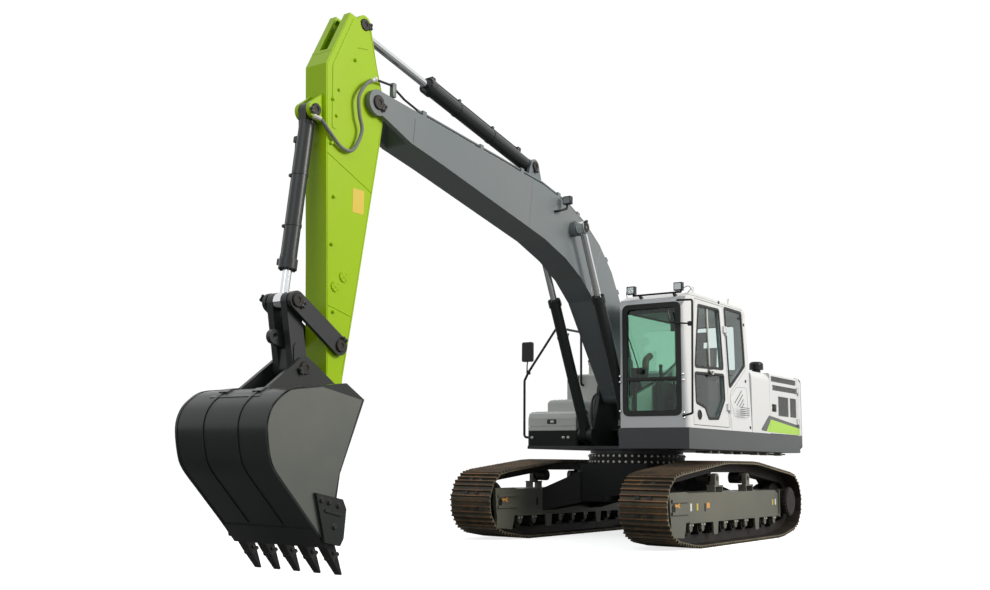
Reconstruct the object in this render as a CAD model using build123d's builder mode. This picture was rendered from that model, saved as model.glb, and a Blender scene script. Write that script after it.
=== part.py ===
# Crawler excavator, 22 tonne class, with a mono boom, an arm and a digging bucket.
# Millimetres. X forward, Y to the cab side, Z up. The origin is on the ground, under the swing axis.
# A point given as (x, z) lies in the side view.
from build123d import *
import math
import os

os.makedirs("parts", exist_ok=True)

# ---------------------------------------------------------------- clearances
running_gap = 6.0          # between pieces that move past each other
pin_play = 0.5             # radial, pin in its bore
seat_gap = 0.3             # between pieces that rest on each other

# ---------------------------------------------------------------- undercarriage
gauge = 2380.0             # between the middles of the tracks
shoe_width = 600.0
tumbler_distance = 3574.0  # idler axle to sprocket axle
axle_z = 470.0
wrap_radius = 400.0        # axle to the grouser tips
carrier_span = 990.0       # between the two carrier rollers
carrier_shift = -5.0
track_top_z = 1012.0
ground_span = 2700.0       # flat run on the ground
grouser = 26.0
shoe_count = 49
grouser_places = (0.14, 0.5, 0.86)   # shares of a shoe's length
grouser_base, grouser_crest = 26.0, 13.0
shoe_plate = 12.0
chain_height = 105.0
chain_width = 210.0
roller_radius = 85.0
roller_length = 330.0
roller_count = 9
roller_pitch = 333.0
carrier_radius = 72.0
rail_z = grouser + shoe_plate + chain_height
tread_radius = wrap_radius - rail_z

frame_width = 400.0
frame_front = 1400.0
frame_back = -1500.0
frame_bottom = 330.0
frame_top = 630.0
frame_leg = 22.0           # side plates below the closed box
frame_leg_bottom = 285.0
frame_flange = 20.0
fork_plate = 40.0
axle_radius = 45.0

carbody_half = 640.0
carbody_bottom = 470.0
tow_reach = 130.0          # shackle hole ahead of the carbody's face
tow_bore = 30.0
carbody_top = 960.0
bearing_radius = 640.0
bearing_bore = 500.0
bearing_top = 1085.0

# ---------------------------------------------------------------- platform
deck_z = 1147.0            # underside of the platform
deck_plate = 40.0
skirt_top = 1397.0
upper_half = 1360.0        # half the width of the upper structure
deck_front = 700.0
tail_side = -2729.0        # rear corner of the counterweight
tail_middle = -2950.0
counterweight_front = -2560.0
skirt_wall = 60.0
bracket_plate = 40.0       # side plates that carry the boom foot

# ---------------------------------------------------------------- cab
cab_front = 1274.0
cab_back = -704.0
cab_inner = 420.0          # side towards the boom
cab_outer = 1360.0
cab_floor_z = skirt_top + seat_gap
cab_roof_z = 3055.0
cab_wall = 60.0
door_front = 1120.0
door_back = 60.0
cab_lean = 2.0             # degrees that the door side leans in towards the roof
door_gap = 8.0
glass = 8.0
cab_hinges = (1650.0, 2650.0)        # foot of each door knuckle
side_hinges = (1560.0, 2020.0)
knuckle_radius = 14.0
hinge_pin_radius = 7.0
knuckle_height = 80.0

# ---------------------------------------------------------------- engine bay and right side
hood_z = 2240.0
panel = 45.0
side_split = -1381.0       # between the plain panel and the louvred door
side_door_back = -2489.0
panel_gap = 6.0
toolbox_front = 590.0
toolbox_inner = -600.0
toolbox_top = 1655.0
step_box_z = 1845.0
tank_front = -400.0
tank_split = -960.0
tank_inner = -727.0

# ---------------------------------------------------------------- boom, arm, bucket: pins (x, z)
boom_foot = (468.0, 1890.0)
boom_tip = (5618.0, 4354.0)
arm_lever = (5783.0, 5092.0)
bucket_cyl_foot = (6353.0, 4093.0)
link_joint = (6565.0, 2315.0)
idler_pin = (6014.0, 1973.0)
bucket_link = (6442.0, 1741.0)
bucket_pin = (6045.0, 1500.0)
boom_cyl_foot = (800.0, 1340.0)
boom_cyl_eye = (1990.0, 3795.0)
arm_cyl_foot = (2700.0, 4435.0)

boom_half = 190.0
arm_half = 130.0
plate = 25.0
ear = 40.0
pin = 45.0

boom_cyl_y = 320.0
boom_barrel, boom_rod = 70.0, 42.5
arm_barrel, arm_rod = 80.0, 43.0
bucket_barrel, bucket_rod = 70.0, 40.0
eye_half = 45.0
eye_radius = 78.0
lug_radius = 85.0          # cheeks beside a cylinder's eye
boom_closed = 1850.0       # barrel foot pin to the gland, with the rod in
arm_closed = 2010.0
bucket_closed = 1500.0
rod_guide = 150.0          # rod left in the barrel at full stroke
boom_stroke = 390.0        # stroke still to come from this pose
arm_stroke = 450.0
bucket_stroke = 960.0

nose_radius = 100.0        # the arm's end boss
bucket_half = 545.0
bucket_plate = 28.0
tooth_count = 5


def at_y(y):
    """Side-view plane at this y; its normal points to -Y."""
    return Plane.XZ.offset(-y)


def toward(a, b, distance):
    """Point this far from a on the way to b."""
    length = math.dist(a, b)
    return (a[0] + (b[0] - a[0]) * distance / length, a[1] + (b[1] - a[1]) * distance / length)


def axis_plane(a, b, y=0.0):
    """Plane at a, whose normal points to b."""
    run = Vector(b[0] - a[0], 0, b[1] - a[1])
    return Plane(origin=(a[0], y, a[1]), x_dir=(0, 1, 0), z_dir=run)


def slab(points, y_low, y_high, mode=Mode.ADD):
    """Plate with this side-view outline, between two y values."""
    with BuildSketch(at_y(y_high)) as outline:
        with BuildLine():
            Polyline(*points, close=True)
        make_face()
    extrude(outline.sketch, amount=y_high - y_low, mode=mode)


def bar(point, radius, y_low, y_high, mode=Mode.ADD):
    """Round bar across the machine."""
    with BuildSketch(at_y(y_high)) as outline:
        with Locations(point):
            Circle(radius)
    extrude(outline.sketch, amount=y_high - y_low, mode=mode)


def ear_plate(point, root_a, root_b, radius, y_low, y_high, mode=Mode.ADD):
    """Plate with a round end at a pin, spreading to two points at its root."""
    with BuildSketch(at_y(y_high)) as outline:
        with BuildLine():
            Polyline(point, root_a, root_b, close=True)
        make_face()
        with Locations(point):
            Circle(radius)
        make_hull()
    extrude(outline.sketch, amount=y_high - y_low, mode=mode)


def link_bar(point_a, point_b, radius_a, radius_b, y_low, y_high, mode=Mode.ADD):
    """Plate that runs from one round end to another."""
    with BuildSketch(at_y(y_high)) as outline:
        with Locations(point_a):
            Circle(radius_a)
        with Locations(point_b):
            Circle(radius_b)
        make_hull()
    extrude(outline.sketch, amount=y_high - y_low, mode=mode)


def block(x_low, x_high, y_low, y_high, z_low, z_high, mode=Mode.ADD):
    """Box between these limits."""
    with Locations(((x_low + x_high) / 2, (y_low + y_high) / 2, (z_low + z_high) / 2)):
        Box(x_high - x_low, y_high - y_low, z_high - z_low, mode=mode)


def hinge_pin(x, y, z, height, wall_y):
    """Upright hinge pin on a lug, for a door knuckle of this height that starts at z."""
    low, high = sorted((y, wall_y))
    block(x - knuckle_radius, x + 2.0, low, high, z - 30.0, z - seat_gap)
    with Locations((x, y, z - 30.0)):
        Cylinder(knuckle_radius, 30.0 - seat_gap, align=(Align.CENTER, Align.CENTER, Align.MIN))
        Cylinder(hinge_pin_radius, height + 35.0, align=(Align.CENTER, Align.CENTER, Align.MIN))


def knuckle(x, y, z, height, leaf_x, wall_y):
    """Door knuckle round its pin, joined to the leaf."""
    low, high = sorted((y, wall_y))
    block(x, leaf_x, low, high, z, z + height)
    with Locations((x, y, z)):
        Cylinder(knuckle_radius, height, align=(Align.CENTER, Align.CENTER, Align.MIN))
        Cylinder(hinge_pin_radius + pin_play, 2 * height + 2.0, mode=Mode.SUBTRACT)


def round_bar(a, b, radius, start, end, y=0.0, mode=Mode.ADD):
    """Round bar along the line from a to b, between two distances from a."""
    with BuildSketch(axis_plane(a, b, y).offset(start)) as section:
        Circle(radius)
    extrude(section.sketch, amount=end - start, mode=mode)


# ================================================================ undercarriage
def pipe(points, radius, bend):
    """Round tube along the points, with an arc at each corner."""
    with BuildLine() as line:
        FilletPolyline(*points, radius=bend)
    with BuildSketch(Plane(origin=points[0], z_dir=line.line % 0)) as section:
        Circle(radius)
    sweep(section.sketch, path=line.line)


def track_outline(radius, top, middle):
    """Loop around the two end wheels, over the carriers and along the ground."""
    half = tumbler_distance / 2
    low = axle_z - radius
    flat = ground_span / 2
    carriers = (carrier_shift + carrier_span / 2, carrier_shift - carrier_span / 2)
    with BuildSketch(at_y(middle + 1.0)) as outline:
        for x in (half, -half):
            with Locations((x, axle_z)):
                Circle(radius)
        with BuildLine():
            Polyline(
                (flat, rail_z - (radius - tread_radius)), (carriers[0], top),
                (carriers[1], top), (-flat, rail_z - (radius - tread_radius)), close=True,
            )
        make_face()
        make_hull()
    return outline.sketch


def loop_line(depth):
    """Closed line round the wheels, this far inside the grousers' tips."""
    return track_outline(wrap_radius - depth, track_top_z - depth, -1.0).faces()[0].outer_wire()


def shoe_ends(depth):
    """Where neighbouring shoes meet on that line; one shoe lies under the swing axis."""
    line = loop_line(depth)
    start = line.param_at_point(Vector(0, 0, depth))
    return [line.position_at((start + (index - 0.5) / shoe_count) % 1.0) for index in range(shoe_count)]


def shoe_outline():
    """Outer line of the track: flat shoes end to end, each with three grousers."""
    ends = shoe_ends(grouser)
    middle = Vector(0, 0, axle_z)
    points = []
    for index, near in enumerate(ends):
        far = ends[(index + 1) % shoe_count]
        along = (far - near).normalized()
        out = Vector(-along.Z, 0, along.X)
        if out.dot(near - middle) < 0:
            out = -out
        length = (far - near).length
        for share in grouser_places:
            for shift, height in ((-grouser_base, 0), (-grouser_crest, grouser),
                                  (grouser_crest, grouser), (grouser_base, 0)):
                spot = near + along * (length * share + shift / 2) + out * height
                points.append((spot.X, spot.Z))
    return points


def track(name, side):
    """One closed track: shoes out to the grousers' tips, and the chain inside them."""
    middle = side * gauge / 2
    half = shoe_width / 2
    plate_inside = [(end.X, end.Z) for end in shoe_ends(grouser + shoe_plate)]
    chain_outside = [(end.X, end.Z) for end in shoe_ends(grouser + shoe_plate - 2.0)]
    with BuildPart() as loop:
        slab(shoe_outline(), middle - half, middle + half)
        slab(plate_inside, middle - half - 1.0, middle + half + 1.0, Mode.SUBTRACT)
        slab(chain_outside, middle - chain_width / 2, middle + chain_width / 2)
        extrude(
            track_outline(tread_radius, track_top_z - rail_z, middle + half - 1.0),
            amount=shoe_width, mode=Mode.SUBTRACT,
        )
    loop.part.label = name
    export_step(loop.part, f"parts/{name}.step")


for name, side in (("track_left", 1), ("track_right", -1)):
    track(name, side)


def track_frame(name, side):
    """Box beam over the rollers, with guard plates round the idler and an inner plate for the drive."""
    middle = side * gauge / 2
    y_low, y_high = middle - frame_width / 2, middle + frame_width / 2
    half = tumbler_distance / 2
    outline = [
        (frame_front, frame_leg_bottom), (frame_front, frame_top),
        (frame_back + 120.0, frame_top), (frame_back, frame_top - 50.0), (frame_back, frame_leg_bottom),
    ]
    with BuildPart() as beam:
        slab(outline, y_low, y_high)
        block(frame_back - 1.0, frame_front + 1.0, y_low + frame_leg, y_high - frame_leg,
              frame_leg_bottom - 1.0, frame_bottom, Mode.SUBTRACT)
        for y in (y_low, y_high - fork_plate):
            slab(idler_guard, y, y + fork_plate)
            bar((half, axle_z), axle_radius, y - 1.0, y + fork_plate + 1.0, Mode.SUBTRACT)
        for y in (y_low - frame_flange, y_high):
            block(frame_back, frame_front, y, y + frame_flange, frame_leg_bottom, frame_leg_bottom + 16.0)
            block(frame_back - 22.0, frame_back, y_low - frame_flange, y_high + frame_flange,
                  frame_leg_bottom - 20.0, frame_top + 10.0)
            for low in guard_ribs:
                block(frame_front + 6.0, half + 60.0, y, y + frame_flange, low, low + 34.0)
            for index in guarded_rollers:
                x = roller_place(index)[0]
                slab([(x - 80.0, frame_leg_bottom + 1.0), (x + 80.0, frame_leg_bottom + 1.0),
                      (x + 55.0, 135.0), (x - 55.0, 135.0)], y, y + frame_flange)
        for y in (y_low, y_high - frame_leg):
            for index in range(roller_count):
                x, z = roller_place(index)
                ear_plate((x, z), (x - 45.0, frame_leg_bottom + 20.0), (x + 45.0, frame_leg_bottom + 20.0),
                          42.0, y, y + frame_leg)
        inner = y_low if side > 0 else y_high - fork_plate
        ear_plate((-half, axle_z), (frame_back + 40.0, axle_z + 150.0),
                  (frame_back + 40.0, axle_z - 150.0), drive_flange, inner, inner + fork_plate)
        for x in carrier_places:
            carrier_post(x, middle, side)
    beam.part.label = name
    export_step(beam.part, f"parts/{name}.step")


def carrier_post(x, middle, side):
    """Hollow seat on top of the beam, with a clamp that holds a carrier roller's shaft."""
    y_in, y_out = middle + side * 85.0, middle + side * (frame_width / 2 - 8.0)
    low, high = min(y_in, y_out), max(y_in, y_out)
    seat_top = 715.0
    for face in (x - post_half, x + post_half - 18.0):
        block(face, face + 18.0, low, high, frame_top - 1.0, seat_top)
    block(x - post_half - 12.0, x + post_half + 12.0, low, high, seat_top - 18.0, seat_top)
    clamp = sorted((middle + side * clamp_reach[0], middle + side * clamp_reach[1]))
    ear_plate((x, carrier_z), (x - 60.0, seat_top - 5.0), (x + 60.0, seat_top - 5.0), 62.0, *clamp)
    bar((x, carrier_z), carrier_shaft, clamp[0] - 1.0, clamp[1] + 1.0, Mode.SUBTRACT)


def roller_place(index):
    """Middle of one bottom roller, as (x, z)."""
    return ((index - (roller_count - 1) / 2) * roller_pitch, roller_z)


idler_guard = [(frame_front - 4.0, frame_top), (1461.0, 645.0), (1896.0, 639.0), (1872.0, 386.0),
               (1850.0, 272.0), (1862.0, 150.0), (1514.0, 122.0), (1455.0, 300.0),
               (frame_front - 4.0, frame_leg_bottom)]
guard_ribs = (530.0, 392.0)
guarded_rollers = (2, 6)
post_half = 120.0
clamp_reach = (110.0, 170.0)
carrier_places = (carrier_shift + carrier_span / 2, carrier_shift - carrier_span / 2)
track_slope = math.atan2(track_top_z - axle_z - wrap_radius,
                         (tumbler_distance - carrier_span) / 2 + carrier_shift)
carrier_z = track_top_z - rail_z - seat_gap - carrier_radius / math.cos(track_slope)
carrier_shaft = 35.0
roller_z = rail_z + seat_gap + roller_radius
drive_flange = 230.0

for name, side in (("track_frame_left", 1), ("track_frame_right", -1)):
    track_frame(name, side)

# Nine bottom rollers a side: a barrel with two treads and a shaft that ends in the frame's side plates.
with BuildPart() as track_rollers:
    for side in (1, -1):
        middle = side * gauge / 2
        inside = frame_width / 2 - frame_leg
        for index in range(roller_count):
            place = roller_place(index)
            bar(place, roller_radius, middle - roller_length / 2, middle + roller_length / 2)
            bar(place, roller_radius - 30.0, middle - inside + seat_gap, middle + inside - seat_gap)
track_rollers.part.label = "track_rollers"
export_step(track_rollers.part, "parts/track_rollers.step")

# Two carrier rollers a side, each on a shaft that runs outward into its clamp.
with BuildPart() as carrier_rollers:
    for side in (1, -1):
        middle = side * gauge / 2
        for x in carrier_places:
            bar((x, carrier_z), carrier_radius, middle - 75.0, middle + 75.0)
            ends = sorted((middle + side * 60.0, middle + side * clamp_reach[1]))
            bar((x, carrier_z), carrier_shaft - seat_gap, *ends)
carrier_rollers.part.label = "carrier_rollers"
export_step(carrier_rollers.part, "parts/carrier_rollers.step")

# Front idlers: a wheel with a raised middle rib between the chain's rails, on an axle in the fork.
idler_width = 150.0
with BuildPart() as idlers:
    for side in (1, -1):
        middle = side * gauge / 2
        place = (tumbler_distance / 2, axle_z)
        fork = frame_width / 2
        bar(place, tread_radius - seat_gap, middle - idler_width / 2, middle + idler_width / 2)
        bar(place, 110.0, middle - fork + fork_plate + seat_gap, middle + fork - fork_plate - seat_gap)
        bar(place, axle_radius - seat_gap, middle - fork, middle + fork)
idlers.part.label = "idlers"
export_step(idlers.part, "parts/idlers.step")

# Final drives: a motor housing on the frame's inner plate, a toothed wheel and a round outer cover.
drive_cover = 190.0
drive_reach = 280.0
cover_bolts = 24
with BuildPart() as sprockets:
    for side in (1, -1):
        middle = side * gauge / 2
        place = (-tumbler_distance / 2, axle_z)
        inner = middle - side * (frame_width / 2 - fork_plate - seat_gap)
        outer = middle + side * drive_reach
        bar(place, drive_cover - 18.0, min(inner, outer), max(inner, outer))
        ring = sorted((outer - side * 45.0, outer - side * 12.0))
        bar(place, drive_cover, *ring)
        for index in range(cover_bolts):
            turn = 2 * math.pi * index / cover_bolts
            reach = drive_cover - 4.0
            bolt = (place[0] + reach * math.cos(turn), place[1] + reach * math.sin(turn))
            bar(bolt, 11.0, *ring)
        bar(place, tread_radius - seat_gap, middle - 40.0, middle + 40.0)
sprockets.part.label = "sprockets"
export_step(sprockets.part, "parts/sprockets.step")

# Carbody: the middle box, and four legs that reach the track frames.
leg_reach = gauge / 2 - frame_width / 2
with BuildPart() as carbody:
    block(-carbody_half, carbody_half, -carbody_half, carbody_half, carbody_bottom, carbody_top)
    chamfer(carbody.edges().filter_by(Axis.Z), 160.0)
    for along in (1, -1):
        for side in (1, -1):
            near = Plane(origin=(along * 330.0, side * 400.0, 700.0), x_dir=(1, 0, 0), z_dir=(0, side, 0))
            far = Plane(origin=(along * 620.0, side * leg_reach, 485.0), x_dir=(1, 0, 0), z_dir=(0, side, 0))
            with BuildSketch(near) as root:
                Rectangle(420.0, 440.0)
            with BuildSketch(far) as foot:
                Rectangle(360.0, 290.0)
            loft(Sketch() + [root.sketch, foot.sketch])
    with Locations((0, 0, carbody_bottom)):
        Cylinder(260.0, 200.0, mode=Mode.SUBTRACT, align=(Align.CENTER, Align.CENTER, Align.MIN))
    for along in (1, -1):
        with Locations((along * (carbody_half + 40.0), 0, carbody_bottom + 60.0)):
            Box(200.0, 180.0, 50.0)
        with Locations((along * (carbody_half + tow_reach), 0, carbody_bottom + 60.0)):
            Cylinder(90.0, 50.0)
            Cylinder(tow_bore, 60.0, mode=Mode.SUBTRACT)
carbody.part.label = "carbody"
export_step(carbody.part, "parts/carbody.step")

# Swing bearing: the ring that is bolted to the carbody.
with BuildPart() as swing_bearing:
    with BuildSketch(Plane.XY.offset(carbody_top)):
        Circle(bearing_radius)
        Circle(bearing_bore, mode=Mode.SUBTRACT)
    extrude(amount=bearing_top - carbody_top)
swing_bearing.part.label = "swing_bearing"
export_step(swing_bearing.part, "parts/swing_bearing.step")

# ================================================================ platform
bracket_inner = boom_half + running_gap
bracket_outer = bracket_inner + bracket_plate
web_top = skirt_top + 60.0
cyl_side = eye_half + running_gap
with BuildPart() as platform:
    with BuildSketch(Plane.XY.offset(bearing_top + running_gap)):
        Circle(bearing_radius - 20.0)
        Circle(bearing_bore - 40.0, mode=Mode.SUBTRACT)
    extrude(amount=deck_z - bearing_top - running_gap)
    with BuildSketch(Plane.XY.offset(carbody_top + running_gap)):
        Circle(bearing_bore - pin_play)
        Circle(bearing_bore - 40.0, mode=Mode.SUBTRACT)
    extrude(amount=deck_z - carbody_top - running_gap)
    block(counterweight_front, deck_front, -upper_half + skirt_wall, upper_half - skirt_wall,
          deck_z, deck_z + deck_plate)
    for side in (1, -1):
        near, far = side * bracket_inner, side * bracket_outer
        slab([(counterweight_front, deck_z + deck_plate), (deck_front, deck_z + deck_plate),
              (boom_cyl_foot[0] + 60.0, boom_cyl_foot[1] - 60.0), (boom_foot[0] + 190.0, boom_foot[1] - 40.0),
              (boom_foot[0] - 190.0, boom_foot[1] + 20.0), (-400.0, web_top),
              (counterweight_front, web_top)], min(near, far), max(near, far))
        bar(boom_foot, 200.0, min(near, far), max(near, far))
        foot_outer = side * (boom_cyl_y + cyl_side + 26.0)
        for a, b in ((near, side * (boom_cyl_y - cyl_side)), (side * (boom_cyl_y + cyl_side), foot_outer)):
            ear_plate(boom_cyl_foot, (500.0, deck_z + 1.0), (500.0, skirt_top), lug_radius,
                      min(a, b), max(a, b))
        bar(boom_cyl_foot, pin, min(near, foot_outer), max(near, foot_outer))
    bar(boom_foot, pin + 10.0, -bracket_inner - 1.0, bracket_inner + 1.0)
    block(counterweight_front, 300.0, -bracket_inner - 1.0, bracket_inner + 1.0,
          skirt_top, skirt_top + 30.0)
platform.part.label = "platform"
export_step(platform.part, "parts/platform.step")

# Skirts: closed box beams along both sides, and across the front of the toolbox and the cab.
with BuildPart() as skirts:
    for low, high, front in ((cab_inner, upper_half, cab_front), (-upper_half, toolbox_inner, toolbox_front)):
        outer, inner = (high, low) if high > 0 else (low, high)
        y_low, y_high = sorted((outer, outer - math.copysign(skirt_wall - seat_gap, outer)))
        block(counterweight_front, front, y_low, y_high, deck_z, skirt_top)
        block(front - skirt_wall, front, low, high, deck_z + deck_plate + seat_gap, skirt_top)
        if front > deck_front:
            block(deck_front + seat_gap, front, low, high, deck_z, deck_z + deck_plate)
skirts.part.label = "skirts"
export_step(skirts.part, "parts/skirts.step")

# ================================================================ cab
brow = (1200.0, 2985.0)
roof_front = (1020.0, cab_roof_z)
cab_outline = [
    (cab_front, cab_floor_z), (cab_front, 2850.0), brow, roof_front, (-560.0, cab_roof_z),
    (-670.0, cab_roof_z - 70.0), (cab_back, 2331.0), (cab_back, cab_floor_z),
]
lean_line = Axis((0.0, cab_outer, cab_floor_z), (1.0, 0.0, 0.0))


def beyond_side(inset):
    """All the space outside the leaning side of the cab, from this far inside its face."""
    with BuildPart() as space:
        block(cab_back - 50.0, cab_front + 50.0, cab_outer - inset, cab_outer + 300.0,
              cab_floor_z - 200.0, cab_roof_z + 200.0)
    return space.part.rotate(lean_line, cab_lean)


def side_opening(outline, y_low, y_high, corner=60.0, grow=0.0, mode=Mode.SUBTRACT):
    """Opening with round corners, cut through a side wall."""
    with BuildSketch(at_y(y_high)) as opening:
        with BuildLine():
            Polyline(*outline, close=True)
        make_face()
        if grow > 0:
            offset(amount=grow, kind=Kind.INTERSECTION)
        if corner > 0:
            fillet(opening.vertices(), corner)
    extrude(opening.sketch, amount=y_high - y_low, mode=mode)


def face_window(x_low, x_high, y_low, y_high, z_low, z_high, corner=70.0, mode=Mode.SUBTRACT):
    """Window with round corners, cut through the front or rear wall."""
    with BuildSketch(Plane.YZ.offset(x_low)) as opening:
        with Locations(((y_low + y_high) / 2, (z_low + z_high) / 2)):
            RectangleRounded(y_high - y_low, z_high - z_low, corner)
    extrude(opening.sketch, amount=x_high - x_low, mode=mode)


seat_y = (cab_inner + cab_outer) / 2
roof_holes = (350.0, 1000.0, 600.0, 9.0)                  # middle x, spacing x, spacing y, radius
windscreen = (cab_inner + 75.0, cab_outer - 105.0, 1551.0, 2900.0)   # y low, y high, z low, z high
windscreen_bar = (1968.0, 2000.0)
rear_window = (cab_inner + 150.0, cab_outer - 200.0, 2150.0, 2850.0)
side_rear_window = [(35.0, 2990.0), (-1.0, 1934.0), (-560.0, 2268.0), (-535.0, 2990.0)]
right_window = [(1120.0, 2860.0), (1120.0, 1750.0), (200.0, 2050.0), (-380.0, 2330.0), (-380.0, 2880.0)]
door_bottom = cab_floor_z + 40.0
door_top = 2990.0
door_outline = [(door_back, door_bottom), (door_front, door_bottom), (door_front, 2150.0),
                (door_front - 180.0, door_top), (door_back, door_top)]
door_windows = ([(850.0, 2925.0), (209.0, 2940.0), (165.0, 2168.0), (1028.0, 2133.0)],
                [(1036.0, 2070.0), (162.0, 2103.0), (165.0, 1778.0), (399.0, 1526.0), (691.0, 1515.0),
                 (789.0, 1651.0), (1040.0, 1697.0)])
vent = (958.0, 1558.0)
vent_radius = 48.0
side_slits = [(-409.0, 1927.0, 310.0), (-446.0, 1880.0, 275.0), (-463.0, 1820.0, 190.0),
              (-470.0, 1765.0, 110.0)]           # x, z of the upper end, and length
slit_width = 16.0
slit_depth = 60.0
slit_slope = -34.4         # degrees

hinge_x = door_back - 4.0
hinge_y = cab_outer + 25.0

with BuildPart() as cab_room:
    with BuildSketch(at_y(cab_outer)) as room_side:
        with BuildLine():
            Polyline(*cab_outline, close=True)
        make_face()
        offset(amount=-cab_wall, kind=Kind.INTERSECTION)
    extrude(amount=cab_outer - cab_inner - cab_wall)
    add(beyond_side(cab_wall), mode=Mode.SUBTRACT)

with BuildPart() as door_pins:
    for z in cab_hinges:
        hinge_pin(hinge_x, hinge_y, z, knuckle_height, cab_outer - 1.0)
        block(door_back - 60.0, hinge_x, cab_outer - 1.0, cab_outer + 12.0, z - 30.0, z - seat_gap)

# Door opening, rear side window and slanted air slits, drawn upright and then leaned.
with BuildPart() as side_cuts:
    side_opening(door_outline, cab_outer - cab_wall - 40.0, cab_outer + 5.0, 0.0, door_gap, Mode.ADD)
    side_opening(side_rear_window, cab_outer - cab_wall - 40.0, cab_outer + 5.0, 40.0, 0.0, Mode.ADD)
    for x, z, length in side_slits:
        with Locations(Plane(origin=(x, cab_outer, z), x_dir=(1, 0, 0), z_dir=(0, -1, 0))):
            with Locations(Location((0, 0, 0), (0, 0, slit_slope))):
                Box(length, slit_width, slit_depth, align=(Align.MIN, Align.CENTER, Align.CENTER))

with BuildPart() as cab_shell:
    with BuildSketch(at_y(cab_outer)) as cab_side:
        with BuildLine():
            Polyline(*cab_outline, close=True)
        make_face()
    extrude(amount=cab_outer - cab_inner)
    add(beyond_side(0.0), mode=Mode.SUBTRACT)
    front_edges = cab_shell.edges().filter_by(
        lambda edge: edge.center().X > cab_front - 1.0 and abs(edge.tangent_at(0).Z) > 0.9)
    fillet(front_edges, 60.0)
    add(cab_room.part, mode=Mode.SUBTRACT)
    face_window(cab_front - 140.0, cab_front + 10.0, *windscreen)
    face_window(cab_back - 10.0, -300.0, *rear_window)
    block(cab_front - 45.0, cab_front - 6.0, windscreen[0] - 1.0, windscreen[1] + 1.0, *windscreen_bar)
    side_opening(right_window, cab_inner - 5.0, cab_inner + cab_wall + 5.0)
    add(side_cuts.part.rotate(lean_line, cab_lean), mode=Mode.SUBTRACT)
    add(door_pins.part.rotate(lean_line, cab_lean))
    with Locations((roof_holes[0], seat_y, cab_roof_z)):
        with GridLocations(roof_holes[1], roof_holes[2], 2, 2):
            Cylinder(roof_holes[3], 2 * cab_wall + 10.0, mode=Mode.SUBTRACT)
cab_shell.part.label = "cab_shell"
export_step(cab_shell.part, "parts/cab_shell.step")

# Door: one leaf, drawn upright and then leaned with the cab's side. Its hinges are at its rear edge.
with BuildPart() as upright_door:
    slab(door_outline, cab_outer - cab_wall, cab_outer)
    for outline in door_windows:
        side_opening(outline, cab_outer - cab_wall - 5.0, cab_outer + 5.0, 40.0)
    bar(vent, vent_radius, cab_outer - 14.0, cab_outer + 1.0, Mode.SUBTRACT)
    for z in cab_hinges:
        knuckle(hinge_x, hinge_y, z, knuckle_height, door_back + 60.0, cab_outer - 1.0)
    block(500.0, 650.0, cab_outer - 1.0, cab_outer + 34.0, 2112.0, 2126.0)
    block(500.0, 516.0, cab_outer - 1.0, cab_outer + 34.0, 2100.0, 2126.0)
cab_door = upright_door.part.rotate(lean_line, cab_lean)
cab_door.label = "cab_door"
export_step(cab_door, "parts/cab_door.step")


def pane(outline, y_inner, corner=60.0):
    """Side window glass, let into the wall's thickness."""
    with BuildSketch(at_y(y_inner + glass)) as sheet:
        with BuildLine():
            Polyline(*outline, close=True)
        make_face()
        fillet(sheet.vertices(), corner)
        offset(amount=-seat_gap)
    extrude(sheet.sketch, amount=glass)


def face_pane(x, y_low, y_high, z_low, z_high):
    """Front or rear window glass."""
    with BuildSketch(Plane.YZ.offset(x)) as sheet:
        with Locations(((y_low + y_high) / 2, (z_low + z_high) / 2)):
            RectangleRounded(y_high - y_low - 2 * seat_gap, z_high - z_low - 2 * seat_gap, 70.0)
    extrude(sheet.sketch, amount=glass)


# Glass of the cab: windscreen above and below its bar, rear window, and the panes in both sides.
glass_inset = cab_wall / 2
with BuildPart() as upright_pane:
    pane(side_rear_window, cab_outer - 10.0, 40.0)
with BuildPart() as cab_glass:
    face_pane(cab_front - glass_inset, *windscreen)
    block(cab_front - 46.0, cab_front - 5.0, windscreen[0] - 2.0, windscreen[1] + 2.0,
          windscreen_bar[0] - seat_gap, windscreen_bar[1] + seat_gap, Mode.SUBTRACT)
    pane(right_window, cab_inner + glass_inset - glass)
    add(upright_pane.part.rotate(lean_line, cab_lean))
cab_glass.part.label = "cab_glass"
export_step(cab_glass.part, "parts/cab_glass.step")

with BuildPart() as upright_glass:
    for outline in door_windows:
        pane(outline, cab_outer - glass_inset, 40.0)
door_glass = upright_glass.part.rotate(lean_line, cab_lean)
door_glass.label = "door_glass"
export_step(door_glass, "parts/door_glass.step")

# Seat with its consoles, on the cab's floor.
floor_top = cab_floor_z + cab_wall + seat_gap
with BuildPart() as operator_seat:
    block(-120.0, 380.0, seat_y - 240.0, seat_y + 240.0, floor_top, floor_top + 330.0)
    block(-140.0, 420.0, seat_y - 250.0, seat_y + 250.0, floor_top + 330.0, floor_top + 470.0)
    slab([(-140.0, floor_top + 400.0), (20.0, floor_top + 400.0), (-70.0, 2760.0), (-190.0, 2760.0)],
         seat_y - 240.0, seat_y + 240.0)
    for side in (1, -1):
        y = seat_y + side * 320.0
        block(-100.0, 480.0, y - 60.0, y + 60.0, floor_top, floor_top + 560.0)
        block(380.0, 440.0, y - 20.0, y + 20.0, floor_top + 560.0, floor_top + 760.0)
operator_seat.part.label = "operator_seat"
export_step(operator_seat.part, "parts/operator_seat.step")

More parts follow.
